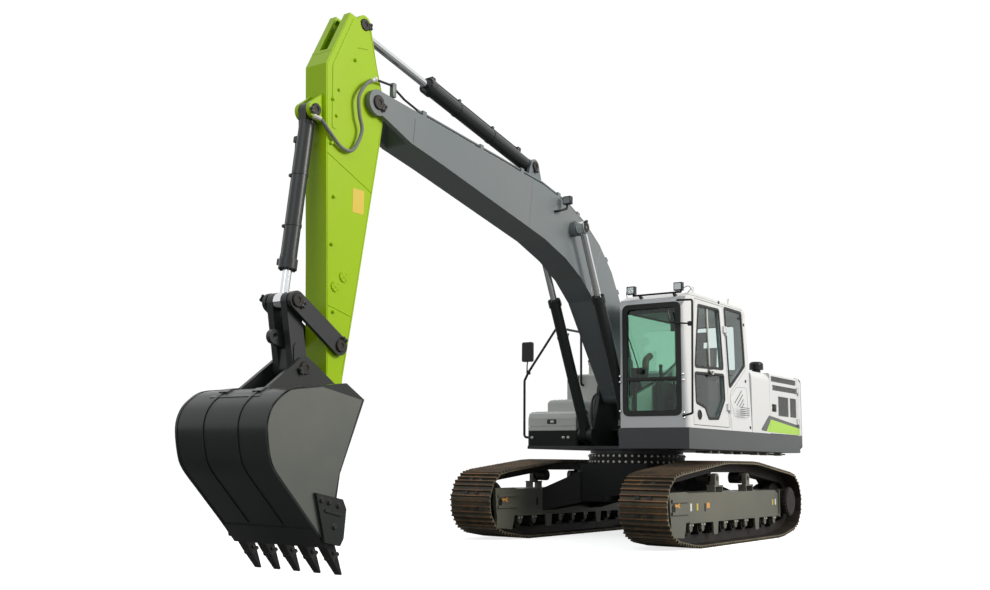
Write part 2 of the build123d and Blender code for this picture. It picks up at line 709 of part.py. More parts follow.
# Travel levers and pedals, and the monitor on its post by the right front pillar.
with BuildPart() as cab_controls:
    for side in (1, -1):
        pedal_y = seat_y + side * 110.0
        block(880.0, 1020.0, pedal_y - 45.0, pedal_y + 45.0, floor_top, floor_top + 60.0)
        block(900.0, 925.0, pedal_y - 12.0, pedal_y + 12.0, floor_top + 60.0, 2010.0)
    block(1000.0, 1040.0, cab_inner + 70.0, cab_inner + 110.0, floor_top, 1985.0)
    block(985.0, 1055.0, cab_inner + 65.0, cab_inner + 265.0, 1985.0, 2150.0)
cab_controls.part.label = "cab_controls"
export_step(cab_controls.part, "parts/cab_controls.step")

# ================================================================ tail and engine bay
lift_x, lift_y = -2660.0, 800.0      # holes for the lifting eyes
lift_bore, lift_depth = 21.0, 80.0
with BuildPart() as counterweight:
    with BuildSketch(Plane.XY.offset(deck_z)):
        with BuildLine():
            l1 = Line((counterweight_front - seat_gap, -upper_half), (tail_side, -upper_half))
            a1 = ThreePointArc((tail_side, -upper_half), (tail_middle, 0), (tail_side, upper_half))
            l2 = Line((tail_side, upper_half), (counterweight_front - seat_gap, upper_half))
            front = counterweight_front - seat_gap
            l3 = Line((front, upper_half), (front, -upper_half))
        make_face()
    extrude(amount=hood_z + 14.0 - deck_z)
    fillet(counterweight.edges().filter_by(Axis.Z).sort_by(Axis.X)[:2], 120.0)
    top = counterweight.faces().sort_by(Axis.Z)[-1]
    fillet(top.edges().filter_by(lambda edge: edge.center().X < counterweight_front - 10.0), 70.0)
    low_face = counterweight.faces().sort_by(Axis.Z)[0]
    chamfer(low_face.edges().filter_by(lambda edge: edge.center().X < tail_side - 40.0), 90.0)
    with Locations((lift_x, lift_y, hood_z + 14.0), (lift_x, -lift_y, hood_z + 14.0)):
        Cylinder(lift_bore, 2 * lift_depth, mode=Mode.SUBTRACT)
counterweight.part.label = "counterweight"
export_step(counterweight.part, "parts/counterweight.step")

# Fixed body panels round the engine bay: front wall, plain side panel, right side strips and top deck.
hood_x = (-2300.0, -1250.0)
hood_y = (-520.0, 620.0)
side_hinge_x = side_door_back - panel_gap / 2
side_hinge_out = 22.0                # pin outside the panel's face
hood_pin, hood_knuckle = 7.0, 14.0
hood_hinge = (hood_x[1] + 16.0, hood_z + 16.0)
hood_hinge_y = (-330.0, 430.0)
hood_hinge_half = 60.0
bay_front = cab_back - 12.0
shoulder = 120.0                     # outer radius along the top of the plain side panel
shoulder_back = side_split + panel_gap / 2
shoulder_inner = upper_half - shoulder - 20.0
door_top_inner = upper_half - panel - panel_gap


def shoulder_panel():
    """Plain side panel that rounds over into the top deck."""
    middle = Vector(upper_half - shoulder, hood_z - shoulder)
    corner = math.sqrt(0.5)
    with BuildSketch(Plane.YZ.offset(shoulder_back)) as section:
        with BuildLine():
            Polyline((middle.X, hood_z), (shoulder_inner, hood_z), (shoulder_inner, hood_z - panel),
                     (middle.X, hood_z - panel))
            inside = shoulder - panel
            ThreePointArc((middle.X, hood_z - panel),
                          (middle.X + inside * corner, middle.Y + inside * corner),
                          (upper_half - panel, middle.Y))
            Polyline((upper_half - panel, middle.Y), (upper_half - panel, skirt_top + seat_gap),
                     (upper_half, skirt_top + seat_gap), (upper_half, middle.Y))
            ThreePointArc((upper_half, middle.Y),
                          (middle.X + shoulder * corner, middle.Y + shoulder * corner), (middle.X, hood_z))
        make_face()
    extrude(section.sketch, amount=bay_front - shoulder_back)


def shoulder_corner():
    """The space outside the rounded edge of the side panel."""
    with BuildSketch(Plane.YZ.offset(shoulder_back)) as corner:
        with Locations((upper_half - shoulder, hood_z - shoulder)):
            Rectangle(shoulder + 1.0, shoulder + 1.0, align=(Align.MIN, Align.MIN))
            Circle(shoulder, mode=Mode.SUBTRACT)
    extrude(corner.sketch, amount=bay_front - shoulder_back, mode=Mode.SUBTRACT)


with BuildPart() as body_panels:
    block(bay_front - panel, bay_front, bracket_outer + 4.0, upper_half, skirt_top + seat_gap, hood_z)
    block(bay_front - panel, bay_front, tank_inner + 10.0, bracket_outer + 5.0, web_top + seat_gap, hood_z)
    block(side_split - panel, side_split, -upper_half + panel + panel_gap, -upper_half + 500.0,
          skirt_top + seat_gap, hood_z)
    block(counterweight_front, bay_front, -upper_half, upper_half, hood_z - panel, hood_z)
    block(side_split, bay_front + 1.0, -upper_half - 1.0, tank_inner + 10.0,
          hood_z - panel - 1.0, hood_z + 1.0, Mode.SUBTRACT)
    block(shoulder_back - 1.0, bay_front - panel, shoulder_inner, upper_half + 1.0,
          hood_z - panel - 1.0, hood_z + 1.0, Mode.SUBTRACT)
    for side in (1, -1):
        low, high = sorted((side * door_top_inner, side * (upper_half + 1.0)))
        block(side_door_back - panel_gap, side_split + panel_gap / 2, low, high,
              hood_z - panel - 1.0, hood_z + 1.0, Mode.SUBTRACT)
    shoulder_corner()
    shoulder_panel()
    block(hood_x[0], hood_x[1], hood_y[0], hood_y[1], hood_z - panel - 1.0, hood_z + 1.0, Mode.SUBTRACT)
    for side in (1, -1):
        low, high = sorted((side * (upper_half - panel), side * upper_half))
        block(counterweight_front, side_door_back - panel_gap, low, high, skirt_top + seat_gap, hood_z)
    for side in (1, -1):
        for z in side_hinges:
            outer = side * upper_half
            hinge_pin(side_hinge_x, outer + side * side_hinge_out, z, knuckle_height, outer - side)
            low, high = sorted((outer - side, outer + side * 10.0))
            block(counterweight_front + 5.0, side_hinge_x, low, high, z - 30.0, z - seat_gap)
    ledge = hood_z - panel - seat_gap
    block(hood_x[0] - 5.0, hood_x[1] + 5.0, hood_y[0] - 5.0, hood_y[1] + 5.0, ledge - 12.0, ledge)
    block(hood_x[0] + 30.0, hood_x[1] - 30.0, hood_y[0] + 30.0, hood_y[1] - 30.0, ledge - 13.0, ledge + 1.0,
          Mode.SUBTRACT)
    block(hood_x[0] - 30.0, hood_x[0], hood_y[0] - 30.0, hood_y[1] + 30.0, ledge - 12.0, hood_z - panel + 1.0)
    block(hood_x[1], hood_x[1] + 30.0, hood_y[0] - 30.0, hood_y[1] + 30.0, ledge - 12.0, hood_z - panel + 1.0)
    for y in hood_hinge_y:
        outside = hood_hinge_half + 14.0
        bar(hood_hinge, hood_pin, y - outside, y + outside)
        for low, high in ((y - outside, y - outside + 12.0), (y + outside - 12.0, y + outside)):
            bar(hood_hinge, hood_knuckle, low, high)
            block(hood_hinge[0] - 9.0, hood_hinge[0] + 9.0, low, high, hood_z - 1.0, hood_hinge[1])
body_panels.part.label = "body_panels"
export_step(body_panels.part, "parts/body_panels.step")

# Grille openings of the left door: x back, x front, z low, z high. The grilles' slats stand inside them.
grille_depth = 26.0
cooler_grilles = [(-2440.0, -1440.0, 2125.0, 2200.0), (-2460.0, -1490.0, 2005.0, 2080.0),
                  (-2115.0, -1705.0, 1654.0, 1930.0), (-2440.0, -2180.0, 1654.0, 1930.0)]
latch = (-1634.0, -1454.0, 1704.0, 1811.0)


def side_door(name, side, grilles):
    """Upright door in the side of the engine bay, with its hinge barrels at the rear edge."""
    outer = side * upper_half
    y_low, y_high = sorted((outer, outer - side * panel))
    with BuildPart() as leaf:
        block(side_door_back, side_split - panel_gap / 2, y_low, y_high, skirt_top + panel_gap, hood_z)
        along = leaf.edges().filter_by(Axis.X)
        fillet(along.sort_by(lambda edge: edge.center().Z + side * edge.center().Y)[-1], 30.0)
        for x_low, x_high, z_low, z_high in grilles:
            low, high = sorted((outer - side * grille_depth, outer + side))
            block(x_low, x_high, low, high, z_low, z_high, Mode.SUBTRACT)
        for z in side_hinges:
            knuckle(side_hinge_x, outer + side * side_hinge_out, z, knuckle_height,
                    side_door_back + 50.0, outer - side)
    leaf.part.label = name
    export_step(leaf.part, f"parts/{name}.step")


side_door("cooler_door", 1, [*cooler_grilles, latch])
side_door("pump_door", -1, [latch])

# Engine hood: the raised lid in the top deck, hinged along its front edge.
hood_rise = 90.0
with BuildPart() as engine_hood:
    block(hood_x[0] + panel_gap, hood_x[1] - panel_gap, hood_y[0] + panel_gap, hood_y[1] - panel_gap,
          hood_z - panel, hood_z + hood_rise)
    chamfer(engine_hood.faces().sort_by(Axis.Z)[-1].edges(), 40.0)
    block(hood_x[0] + 40.0, hood_x[1] - 40.0, hood_y[0] + 40.0, hood_y[1] - 40.0,
          hood_z - panel - 1.0, hood_z + hood_rise - 35.0, Mode.SUBTRACT)
    for y in hood_hinge_y:
        bar(hood_hinge, hood_knuckle, y - hood_hinge_half, y + hood_hinge_half)
        block(hood_x[1] - panel_gap - 1.0, hood_hinge[0], y - hood_hinge_half, y + hood_hinge_half,
              hood_hinge[1] - 6.0, hood_hinge[1] + 6.0)
        bar(hood_hinge, hood_pin + pin_play, y - hood_hinge_half - 1.0, y + hood_hinge_half + 1.0,
            Mode.SUBTRACT)
engine_hood.part.label = "engine_hood"
export_step(engine_hood.part, "parts/engine_hood.step")

# Engine, as one block at its place across the bay, with its mounts on the platform.
with BuildPart() as engine:
    block(-2150.0, -1500.0, -420.0, 520.0, 1500.0, 2100.0)
    for x in (-2080.0, -1570.0):
        for y in (-bracket_inner - bracket_plate / 2, bracket_inner + bracket_plate / 2):
            block(x - 50.0, x + 50.0, y - 20.0, y + 20.0, web_top + seat_gap, 1501.0)
engine.part.label = "engine"
export_step(engine.part, "parts/engine.step")

# ================================================================ right side boxes
filler = (-560.0, -1000.0)
with BuildPart() as fuel_tank:
    block(tank_split + seat_gap, tank_front, -upper_half, tank_inner, skirt_top + seat_gap, hood_z)
    fillet(fuel_tank.edges().filter_by(Axis.Z), 60.0)
    fillet(fuel_tank.faces().sort_by(Axis.Z)[-1].edges(), 40.0)
    with Locations((*filler, hood_z - 1.0)):
        Cylinder(54.0, 150.0, align=(Align.CENTER, Align.CENTER, Align.MIN))
    with Locations((*filler, hood_z + 140.0)):
        Cylinder(63.0, 45.0, align=(Align.CENTER, Align.CENTER, Align.MIN))
fuel_tank.part.label = "fuel_tank"
export_step(fuel_tank.part, "parts/fuel_tank.step")

with BuildPart() as oil_tank:
    block(side_split + panel_gap, tank_split - seat_gap, -upper_half, tank_inner,
          skirt_top + seat_gap, hood_z)
    fillet(oil_tank.edges().filter_by(Axis.Z), 40.0)
oil_tank.part.label = "oil_tank"
export_step(oil_tank.part, "parts/oil_tank.step")

# Toolbox: a hollow box under a lid that folds down over its front, and a taller step box behind it.
step_back = 110.0
step_inner = -820.0
box_outer = -upper_half
lid_thick = 30.0
lip_z = 1457.0
lid_hinge = (step_back + 6.0, toolbox_top)
lid_pin, lid_knuckle = 2.5, 5.0
lid_lugs = (box_outer + 30.0, (box_outer + toolbox_inner) / 2, toolbox_inner - 30.0)
lid_lug_half = 10.0
box_wall = 35.0
box_front = toolbox_front - lid_thick - 5.0
box_top = toolbox_top - lid_thick
with BuildPart() as toolbox:
    slab([(step_back + seat_gap, skirt_top + seat_gap), (toolbox_front, skirt_top + seat_gap),
          (toolbox_front, lip_z - 4.0), (box_front, lip_z - 4.0), (box_front, box_top - 75.0),
          (box_front - 85.0, box_top - seat_gap), (step_back + seat_gap, box_top - seat_gap)],
         box_outer, toolbox_inner)
    block(step_back + box_wall, box_front - box_wall, box_outer + box_wall, toolbox_inner - box_wall,
          skirt_top + box_wall, toolbox_top, Mode.SUBTRACT)
    bar(lid_hinge, lid_pin, lid_lugs[0], lid_lugs[-1])
    for y in lid_lugs:
        bar(lid_hinge, lid_knuckle, y - lid_lug_half, y + lid_lug_half)
        block(lid_hinge[0] - 4.5, lid_hinge[0] + 4.5, y - lid_lug_half, y + lid_lug_half,
              box_top - 5.0, toolbox_top)
toolbox.part.label = "toolbox"
export_step(toolbox.part, "parts/toolbox.step")

with BuildPart() as step_box:
    block(tank_front + seat_gap, step_back, box_outer, step_inner, skirt_top + seat_gap, step_box_z)
    fillet(step_box.edges().filter_by(Axis.Z), 25.0)
    outer_edge = step_box.faces().sort_by(Axis.Z)[-1].edges().filter_by(Axis.X).sort_by(Axis.Y)[0]
    fillet(outer_edge, 60.0)
step_box.part.label = "step_box"
export_step(step_box.part, "parts/step_box.step")

with BuildPart() as toolbox_lid:
    lip_back = toolbox_front - lid_thick
    slab([(step_back + 12.0, box_top), (box_front - 80.0, box_top), (lip_back, box_top - 70.0),
          (lip_back, lip_z), (toolbox_front, lip_z), (toolbox_front, box_top - 60.0),
          (toolbox_front - 25.0, box_top), (toolbox_front - 90.0, toolbox_top),
          (step_back + 12.0, toolbox_top)], box_outer, toolbox_inner)
    for near, far in zip(lid_lugs, lid_lugs[1:]):
        low, high = near + lid_lug_half + 1.0, far - lid_lug_half - 1.0
        bar(lid_hinge, lid_knuckle, low, high)
        block(lid_hinge[0], step_back + 13.0, low, high, toolbox_top - lid_knuckle, toolbox_top)
        bar(lid_hinge, lid_pin + pin_play, low - 1.0, high + 1.0, Mode.SUBTRACT)
toolbox_lid.part.label = "toolbox_lid"
export_step(toolbox_lid.part, "parts/toolbox_lid.step")

# ================================================================ rails, mirror, lamps, cleaner, exhaust
rail_radius = 17.0
rail_y = -1063.0
joint = (560.0, -1385.0, 2205.0)     # clamp that holds the mirror
with BuildPart() as handrails:
    pipe([(tank_front + seat_gap, rail_y, 2080.0), (tank_front + 60.0, rail_y, 2080.0),
          (tank_front + 60.0, rail_y, 2845.0), (330.0, rail_y, 2840.0), joint, (joint[0], -1449.0, 2090.0),
          (joint[0], -1445.0, 1306.0), (joint[0], -upper_half - seat_gap, 1306.0)], rail_radius, 45.0)
    with Locations((joint[0], joint[1], joint[2] - 2.0)):
        Cylinder(30.0, 56.0)
    with BuildPart(mode=Mode.PRIVATE) as cab_rail:
        pipe([(cab_front + seat_gap, 1235.0, 2925.0), (cab_front + 30.0, 1235.0, 2925.0),
              (cab_front + 30.0, 1440.0, 2915.0), (cab_front + 30.0, 1420.0, 1560.0),
              (cab_front + 30.0, 1290.0, 1530.0), (cab_front + seat_gap, 1290.0, 1530.0)], 13.0, 24.0)
    add(cab_rail.part)
handrails.part.label = "handrails"
export_step(handrails.part, "parts/handrails.step")

with BuildPart() as mirrors:
    block(joint[0] - 18.0, joint[0] + 18.0, -1486.0, -1310.0, 2352.0, 2628.0)
    fillet(mirrors.edges().filter_by(Axis.X), 25.0)
    stem = (joint[0] + 15.0, joint[1] - 13.0)
    pipe([(*stem, joint[2] + 26.0 + seat_gap), (*stem, joint[2] + 90.0), (joint[0], stem[1], 2370.0)],
         9.0, 20.0)
mirrors.part.label = "mirrors"
export_step(mirrors.part, "parts/mirrors.step")

lamp_x, lamp_z = 1215.0, 3036.0
lamp_places = (580.0, 1224.0)
with BuildPart() as work_lamps:
    bar((lamp_x, lamp_z), 12.0, lamp_places[0] + 20.0, lamp_places[1] + 30.0)
    slope = (brow[1] - roof_front[1]) / (brow[0] - roof_front[0])
    low_x, high_x = brow[0] - 80.0, brow[0] - 15.0
    for y in (690.0, 1150.0):
        slab([(low_x, brow[1] + slope * (low_x - brow[0]) + 1.2 * seat_gap),
              (high_x, brow[1] + slope * (high_x - brow[0]) + 1.2 * seat_gap),
              (lamp_x + 8.0, lamp_z), (lamp_x - 8.0, lamp_z + 8.0)], y - 12.0, y + 12.0)
    for y in lamp_places:
        block(lamp_x - 30.0, lamp_x + 30.0, y - 55.0, y + 55.0, lamp_z + 18.0, lamp_z + 118.0)
        block(lamp_x - 10.0, lamp_x + 10.0, y + 20.0, y + 40.0, lamp_z, lamp_z + 20.0)
work_lamps.part.label = "work_lamps"
export_step(work_lamps.part, "parts/work_lamps.step")

with BuildPart() as air_cleaner:
    with Locations((-1830.0, 1000.0, hood_z + seat_gap)):
        Cylinder(60.0, 100.0, align=(Align.CENTER, Align.CENTER, Align.MIN))
        with Locations((0, 0, 90.0)):
            Cylinder(100.0, 115.0, align=(Align.CENTER, Align.CENTER, Align.MIN))
    fillet(air_cleaner.edges().sort_by(Axis.Z)[-1], 45.0)
air_cleaner.part.label = "air_cleaner"
export_step(air_cleaner.part, "parts/air_cleaner.step")

with BuildPart() as exhaust_pipe:
    pipe([(-1900.0, -820.0, hood_z + seat_gap), (-1900.0, -820.0, 2560.0), (-2060.0, -820.0, 2640.0)],
         52.0, 90.0)
exhaust_pipe.part.label = "exhaust_pipe"
export_step(exhaust_pipe.part, "parts/exhaust_pipe.step")

# ================================================================ boom
tip_slot = 5100.0          # the boom's end is a fork from here forward
boom_low = [(594.0, 1818.0), (1472.0, 2972.0), (1790.0, 3215.0), (2155.0, 3400.0), (2643.0, 3561.0),
            (4604.0, 3981.0), (5117.0, 4081.0), (5560.0, 4244.0)]
boom_high = [(5590.0, 4476.0), (2646.0, 4200.0), (2110.0, 4086.0), (1661.0, 3900.0), (1310.0, 3680.0),
             (1007.0, 3384.0), (736.0, 2951.0), (342.0, 1962.0)]


def boom_profile(inset):
    """Side view of the boom between its two end bosses."""
    with BuildSketch(at_y(boom_half - inset)) as outline:
        with BuildLine():
            Polyline(*boom_low, *boom_high, close=True)
        make_face()
        if inset > 0:
            offset(amount=-inset, kind=Kind.INTERSECTION)
    return outline.sketch


with BuildPart() as boom:
    extrude(boom_profile(0.0), amount=2 * boom_half)
    bar(boom_foot, 150.0, -boom_half, boom_half)
    bar(boom_tip, 128.0, -boom_half, boom_half)
    extrude(boom_profile(plate), amount=2 * (boom_half - plate), mode=Mode.SUBTRACT)
    block(tip_slot - 40.0, tip_slot, -boom_half, boom_half, 4088.0, 4430.0)
    block(tip_slot, boom_tip[0] + 200.0, -arm_half - running_gap, arm_half + running_gap,
          boom_tip[1] - 400.0, boom_tip[1] + 300.0, Mode.SUBTRACT)
    bar(boom_foot, 150.0, -boom_half, boom_half)
    bar(boom_foot, pin + 10.0 + pin_play, -boom_half - 1.0, boom_half + 1.0, Mode.SUBTRACT)
    bar(boom_cyl_eye, 95.0, -boom_cyl_y + cyl_side, boom_cyl_y - cyl_side)
    for side in (1, -1):
        low, high = sorted((side * cyl_side, side * (cyl_side + ear)))
        ear_plate(arm_cyl_foot, (arm_cyl_foot[0] - 190.0, 4150.0), (arm_cyl_foot[0] + 190.0, 4190.0),
                  lug_radius, low, high)
    bar(boom_tip, pin + 10.0, -boom_half, boom_half)
    bar(arm_cyl_foot, pin, -cyl_side - ear, cyl_side + ear)
boom.part.label = "boom"
export_step(boom.part, "parts/boom.step")


def raised(points, rise):
    """A line that runs back along the boom's top, lifted square to itself."""
    line = []
    for index, (x, z) in enumerate(points):
        before = points[max(index - 1, 0)]
        after = points[min(index + 1, len(points) - 1)]
        run = Vector(after[0] - before[0], after[1] - before[1]).normalized()
        line.append((x + run.Y * rise, z - run.X * rise))
    return line


# Hydraulic pipes along the boom's top: an outer pair to the tip, an inner pair to the arm cylinder,
# and clamps across them, each at its x and with the number of the straight stretch that carries it.
pipe_radius, pipe_rise, pipe_bend = 14.0, 42.0, 150.0
pipe_bends = boom_high[1:-1]
pipe_end = (470.0, 2283.0)
pipe_lines = (((5000.0, 4420.7), 152.0), ((2450.0, 4158.4), 112.0))
clamp_long, clamp_rise, clamp_reach_y = 60.0, 62.0, 178.0
clamp_places = [(4900.0, 0), (3900.0, 0), (3100.0, 0), (2300.0, 1), (1850.0, 2), (1150.0, 4), (860.0, 5),
                (600.0, 6)]
with BuildPart() as boom_pipes:
    for start, out in pipe_lines:
        path = raised([start, *[bend for bend in pipe_bends if bend[0] < start[0]], pipe_end], pipe_rise)
        for y in (out, -out):
            pipe([(x, y, z) for x, z in path], pipe_radius, pipe_bend)
    for x, index in clamp_places:
        a, b = boom_high[index], boom_high[index + 1]
        foot = toward(a, b, math.dist(a, b) * (a[0] - x) / (a[0] - b[0]))
        sides = []
        for along in (-clamp_long / 2, clamp_long / 2):
            near = toward(foot, b, along)
            sides.append(raised([near, toward(near, b, 1.0)], seat_gap)[0])
            sides.append(raised([near, toward(near, b, 1.0)], clamp_rise)[0])
        slab([sides[0], sides[1], sides[3], sides[2]], -clamp_reach_y, clamp_reach_y)
boom_pipes.part.label = "boom_pipes"
export_step(boom_pipes.part, "parts/boom_pipes.step")

# ================================================================ arm
arm_front = [(5990.0, 5145.0), (6283.0, 4555.0), (6236.0, 3643.0), (6189.0, 2821.0), (6134.0, 1704.0)]
arm_rear = [(5924.0, 1704.0), (5805.0, 2340.0), (5673.0, 3084.0), (5524.0, 3922.0), (5486.0, 4179.0),
            (5495.0, 4467.0), (5591.0, 4728.0), (5690.0, 5089.0)]
fork_floor = 4730.0        # the arm's head is a fork from here up
fork_back, fork_front = arm_lever[0] - 480.0, arm_lever[0] + 720.0


def arm_profile(inset):
    """Side view of the arm between its nose and its lever."""
    with BuildSketch(at_y(arm_half - inset)) as outline:
        with BuildLine():
            Polyline(*arm_front, *arm_rear, close=True)
        make_face()
        if inset > 0:
            offset(amount=-inset, kind=Kind.INTERSECTION)
    return outline.sketch


with BuildPart() as arm:
    extrude(arm_profile(0.0), amount=2 * arm_half)
    bar(arm_lever, 95.0, -arm_half, arm_half)
    extrude(arm_profile(plate), amount=2 * (arm_half - plate), mode=Mode.SUBTRACT)
    block(5575.0, 6225.0, -arm_half, arm_half, fork_floor - 30.0, fork_floor)
    block(fork_back, fork_front, -cyl_side, cyl_side, fork_floor, fork_floor + 670.0, Mode.SUBTRACT)
    slab([(fork_back, fork_floor - 31.0), (5579.0, fork_floor - 31.0), (5592.0, fork_floor + 1.0),
          (fork_back, fork_floor + 1.0)], -arm_half - 1.0, arm_half + 1.0, Mode.SUBTRACT)
    slab([(fork_front, fork_floor - 31.0), (6214.0, fork_floor - 31.0), (6198.0, fork_floor + 1.0),
          (fork_front, fork_floor + 1.0)], -arm_half - 1.0, arm_half + 1.0, Mode.SUBTRACT)
    bar(boom_tip, 122.0, -arm_half, arm_half)
    bar(boom_tip, pin + 10.0 + pin_play, -arm_half - 1.0, arm_half + 1.0, Mode.SUBTRACT)
    link_bar(bucket_pin, (6029.0, 1720.0), nose_radius, 105.0, -arm_half, arm_half)
    bar(bucket_pin, pin + pin_play, -arm_half - 1.0, arm_half + 1.0, Mode.SUBTRACT)
    bar(idler_pin, pin, -arm_half - running_gap - ear, arm_half + running_gap + ear)
    for side in (1, -1):
        low, high = sorted((side * cyl_side, side * (cyl_side + ear)))
        ear_plate(bucket_cyl_foot, (6240.0, 4290.0), (6228.0, 3990.0), lug_radius, low, high)
    bar(bucket_cyl_foot, pin, -cyl_side - ear, cyl_side + ear)
arm.part.label = "arm"
export_step(arm.part, "parts/arm.step")


# ================================================================ cylinders
tube_start = lug_radius + 4 * running_gap


def barrel(name, foot, eye, radius, rod_radius, closed, places):
    """Cylinder barrels side by side: an eye at the foot, the tube, and the gland at the front."""
    with BuildPart() as tube:
        for y in places:
            link_bar(foot, toward(foot, eye, tube_start + 30.0), eye_radius, eye_radius - 20.0,
                     y - eye_half, y + eye_half)
            round_bar(foot, eye, radius, tube_start, closed, y)
            round_bar(foot, eye, radius + 12.0, closed - 90.0, closed, y)
            bar(foot, pin + pin_play, y - eye_half - 1.0, y + eye_half + 1.0, Mode.SUBTRACT)
            round_bar(foot, eye, rod_radius + 1.0, tube_start + 60.0, closed + 1.0, y, Mode.SUBTRACT)
    tube.part.label = name
    export_step(tube.part, f"parts/{name}.step")


def rod(name, foot, eye, rod_radius, closed, stroke, places):
    """Piston rods: long enough inside for the stroke to come, and an eye that holds its own pin."""
    length = math.dist(foot, eye)
    with BuildPart() as stem:
        for y in places:
            round_bar(foot, eye, rod_radius, closed - stroke - rod_guide, length - eye_radius + 15.0, y)
            bar(eye, eye_radius, y - eye_half, y + eye_half)
            bar(eye, pin, y - eye_half - 4.0, y + eye_half + 4.0)
    stem.part.label = name
    export_step(stem.part, f"parts/{name}.step")


cylinders = (   # name, foot, eye, tube radius, rod radius, closed length, stroke to come, y of each
    ("boom_cylinder", boom_cyl_foot, boom_cyl_eye, boom_barrel, boom_rod, boom_closed, boom_stroke,
     (boom_cyl_y, -boom_cyl_y)),
    ("arm_cylinder", arm_cyl_foot, arm_lever, arm_barrel, arm_rod, arm_closed, arm_stroke, (0.0,)),
    ("bucket_cylinder", bucket_cyl_foot, link_joint, bucket_barrel, bucket_rod, bucket_closed, bucket_stroke,
     (0.0,)),
)
for name, foot, eye, tube_radius, rod_radius, closed, stroke, places in cylinders:
    barrel(f"{name}_barrel", foot, eye, tube_radius, rod_radius, closed, places)
    rod(f"{name}_rod", foot, eye, rod_radius, closed, stroke, places)

# ================================================================ bucket linkage
idler_side = arm_half + running_gap
with BuildPart() as idler_links:
    for side in (1, -1):
        low, high = sorted((side * idler_side, side * (idler_side + ear)))
        link_bar(idler_pin, link_joint, 88.0, 82.0, low, high)
        bar(idler_pin, pin + pin_play, low - 1.0, high + 1.0, Mode.SUBTRACT)
idler_links.part.label = "idler_links"
export_step(idler_links.part, "parts/idler_links.step")

fork_out = cyl_side + 70.0
hook_half, hook_bore = 25.0, 30.0    # lifting eye behind the link
hook_eye = (6660.0, 2000.0)
with BuildPart() as power_link:
    for side in (1, -1):
        low, high = sorted((side * (cyl_side), side * fork_out))
        link_bar(link_joint, bucket_link, 80.0, 88.0, low, high)
    middle = toward(bucket_link, link_joint, 170.0)
    link_bar(bucket_link, middle, 88.0, 60.0, -arm_half, arm_half)
    bar(bucket_link, pin + pin_play, -arm_half - 1.0, arm_half + 1.0, Mode.SUBTRACT)
    with BuildSketch(at_y(hook_half)) as hook:
        with Locations(hook_eye):
            Circle(62.0)
        with Locations(toward(link_joint, bucket_link, 380.0)):
            Circle(50.0)
        make_hull()
    extrude(amount=2 * hook_half)
    bar(hook_eye, hook_bore, -hook_half - 1.0, hook_half + 1.0, Mode.SUBTRACT)
power_link.part.label = "power_link"
export_step(power_link.part, "parts/power_link.step")

# ================================================================ bucket
mouth_top = (6085.0, 1478.0)
lip = (6440.0, 316.0)
bucket_back = [(6494.0, 262.0), (6662.0, 438.0), (6922.0, 697.0), (7100.0, 880.0), (7161.0, 1010.0),
               (7195.0, 1215.0), (7160.0, 1350.0), (7077.0, 1443.0), (6951.0, 1517.0), (6743.0, 1547.0),
               (6314.0, 1606.0)]
tooth_tip = (6256.0, 30.0)
side_cutter = [(6662.0, 699.0), (6345.0, 640.0), (6300.0, 560.0), (6322.0, 320.0), (6360.0, 262.0),
               (6539.0, 300.0)]
cutter_plate = 32.0
ear_back = [(6900.0, 1524.0), (6600.0, 1500.0)]


def bucket_profile(points, width):
    with BuildSketch(at_y(width)) as outline:
        with BuildLine():
            Polyline(*points, close=True)
        make_face()
    return outline.sketch


with BuildPart() as bucket:
    shell = [mouth_top, (6358.0, 850.0), lip, *bucket_back]
    extrude(bucket_profile(shell, bucket_half), amount=2 * bucket_half)
    with BuildSketch(at_y(bucket_half - bucket_plate)) as hollow:
        with BuildLine():
            Polyline(*shell, close=True)
        make_face()
        offset(amount=-bucket_plate, kind=Kind.INTERSECTION)
        with BuildLine():
            Polyline((5900.0, 1450.0), (6130.0, 1470.0), (6400.0, 850.0), (6478.0, 330.0), (6250.0, 250.0),
                     close=True)
        make_face()
    extrude(amount=2 * (bucket_half - bucket_plate), mode=Mode.SUBTRACT)
    for side in (1, -1):
        low, high = sorted((side * idler_side, side * (idler_side + ear)))
        with BuildSketch(at_y(high)) as ears:
            with BuildLine():
                Polyline(bucket_pin, bucket_link, *ear_back, mouth_top, close=True)
            make_face()
            with Locations(bucket_pin, bucket_link):
                Circle(98.0)
            make_hull()
        extrude(amount=high - low)
    bar(bucket_pin, nose_radius + 2 * running_gap, -idler_side, idler_side, Mode.SUBTRACT)
    bar(bucket_pin, pin, -idler_side - ear, idler_side + ear)
    bar(bucket_link, pin, -idler_side - ear, idler_side + ear)
    for side in (1, -1):
        low, high = sorted((side * (bucket_half - 1.0), side * (bucket_half + cutter_plate)))
        slab(side_cutter, low, high)
    run = Vector(tooth_tip[0] - lip[0], 0, tooth_tip[1] - lip[1]).normalized()
    for index in range(tooth_count):
        y = (index - (tooth_count - 1) / 2) * (2 * bucket_half - 130.0) / (tooth_count - 1)
        root = Plane(origin=(6466.0, y, 330.0), x_dir=(0, 1, 0), z_dir=run)
        with BuildSketch(root) as base:
            Rectangle(110.0, 100.0)
        with BuildSketch(root.offset(150.0)) as collar:
            Rectangle(90.0, 80.0)
        with BuildSketch(root.offset(math.dist(lip, tooth_tip) + 25.0)) as tip:
            Rectangle(70.0, 14.0)
        loft(Sketch() + [base.sketch, collar.sketch, tip.sketch], ruled=True)
bucket.part.label = "bucket"
export_step(bucket.part, "parts/bucket.step")
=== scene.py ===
# %% [markdown]
# # Crawler excavator
# A tracked digging machine of the 22 tonne class. The frame brings its solids, in metres, with X to
# the front, Y to the cab side and Z up. This script gives every solid its finish, and adds the
# pieces that are too fine for the solids: grilles, pipes, hoses, lamps, bolts and trim.

# %% Load the frame
import math

import bmesh
import bpy
from mathutils import Matrix, Vector


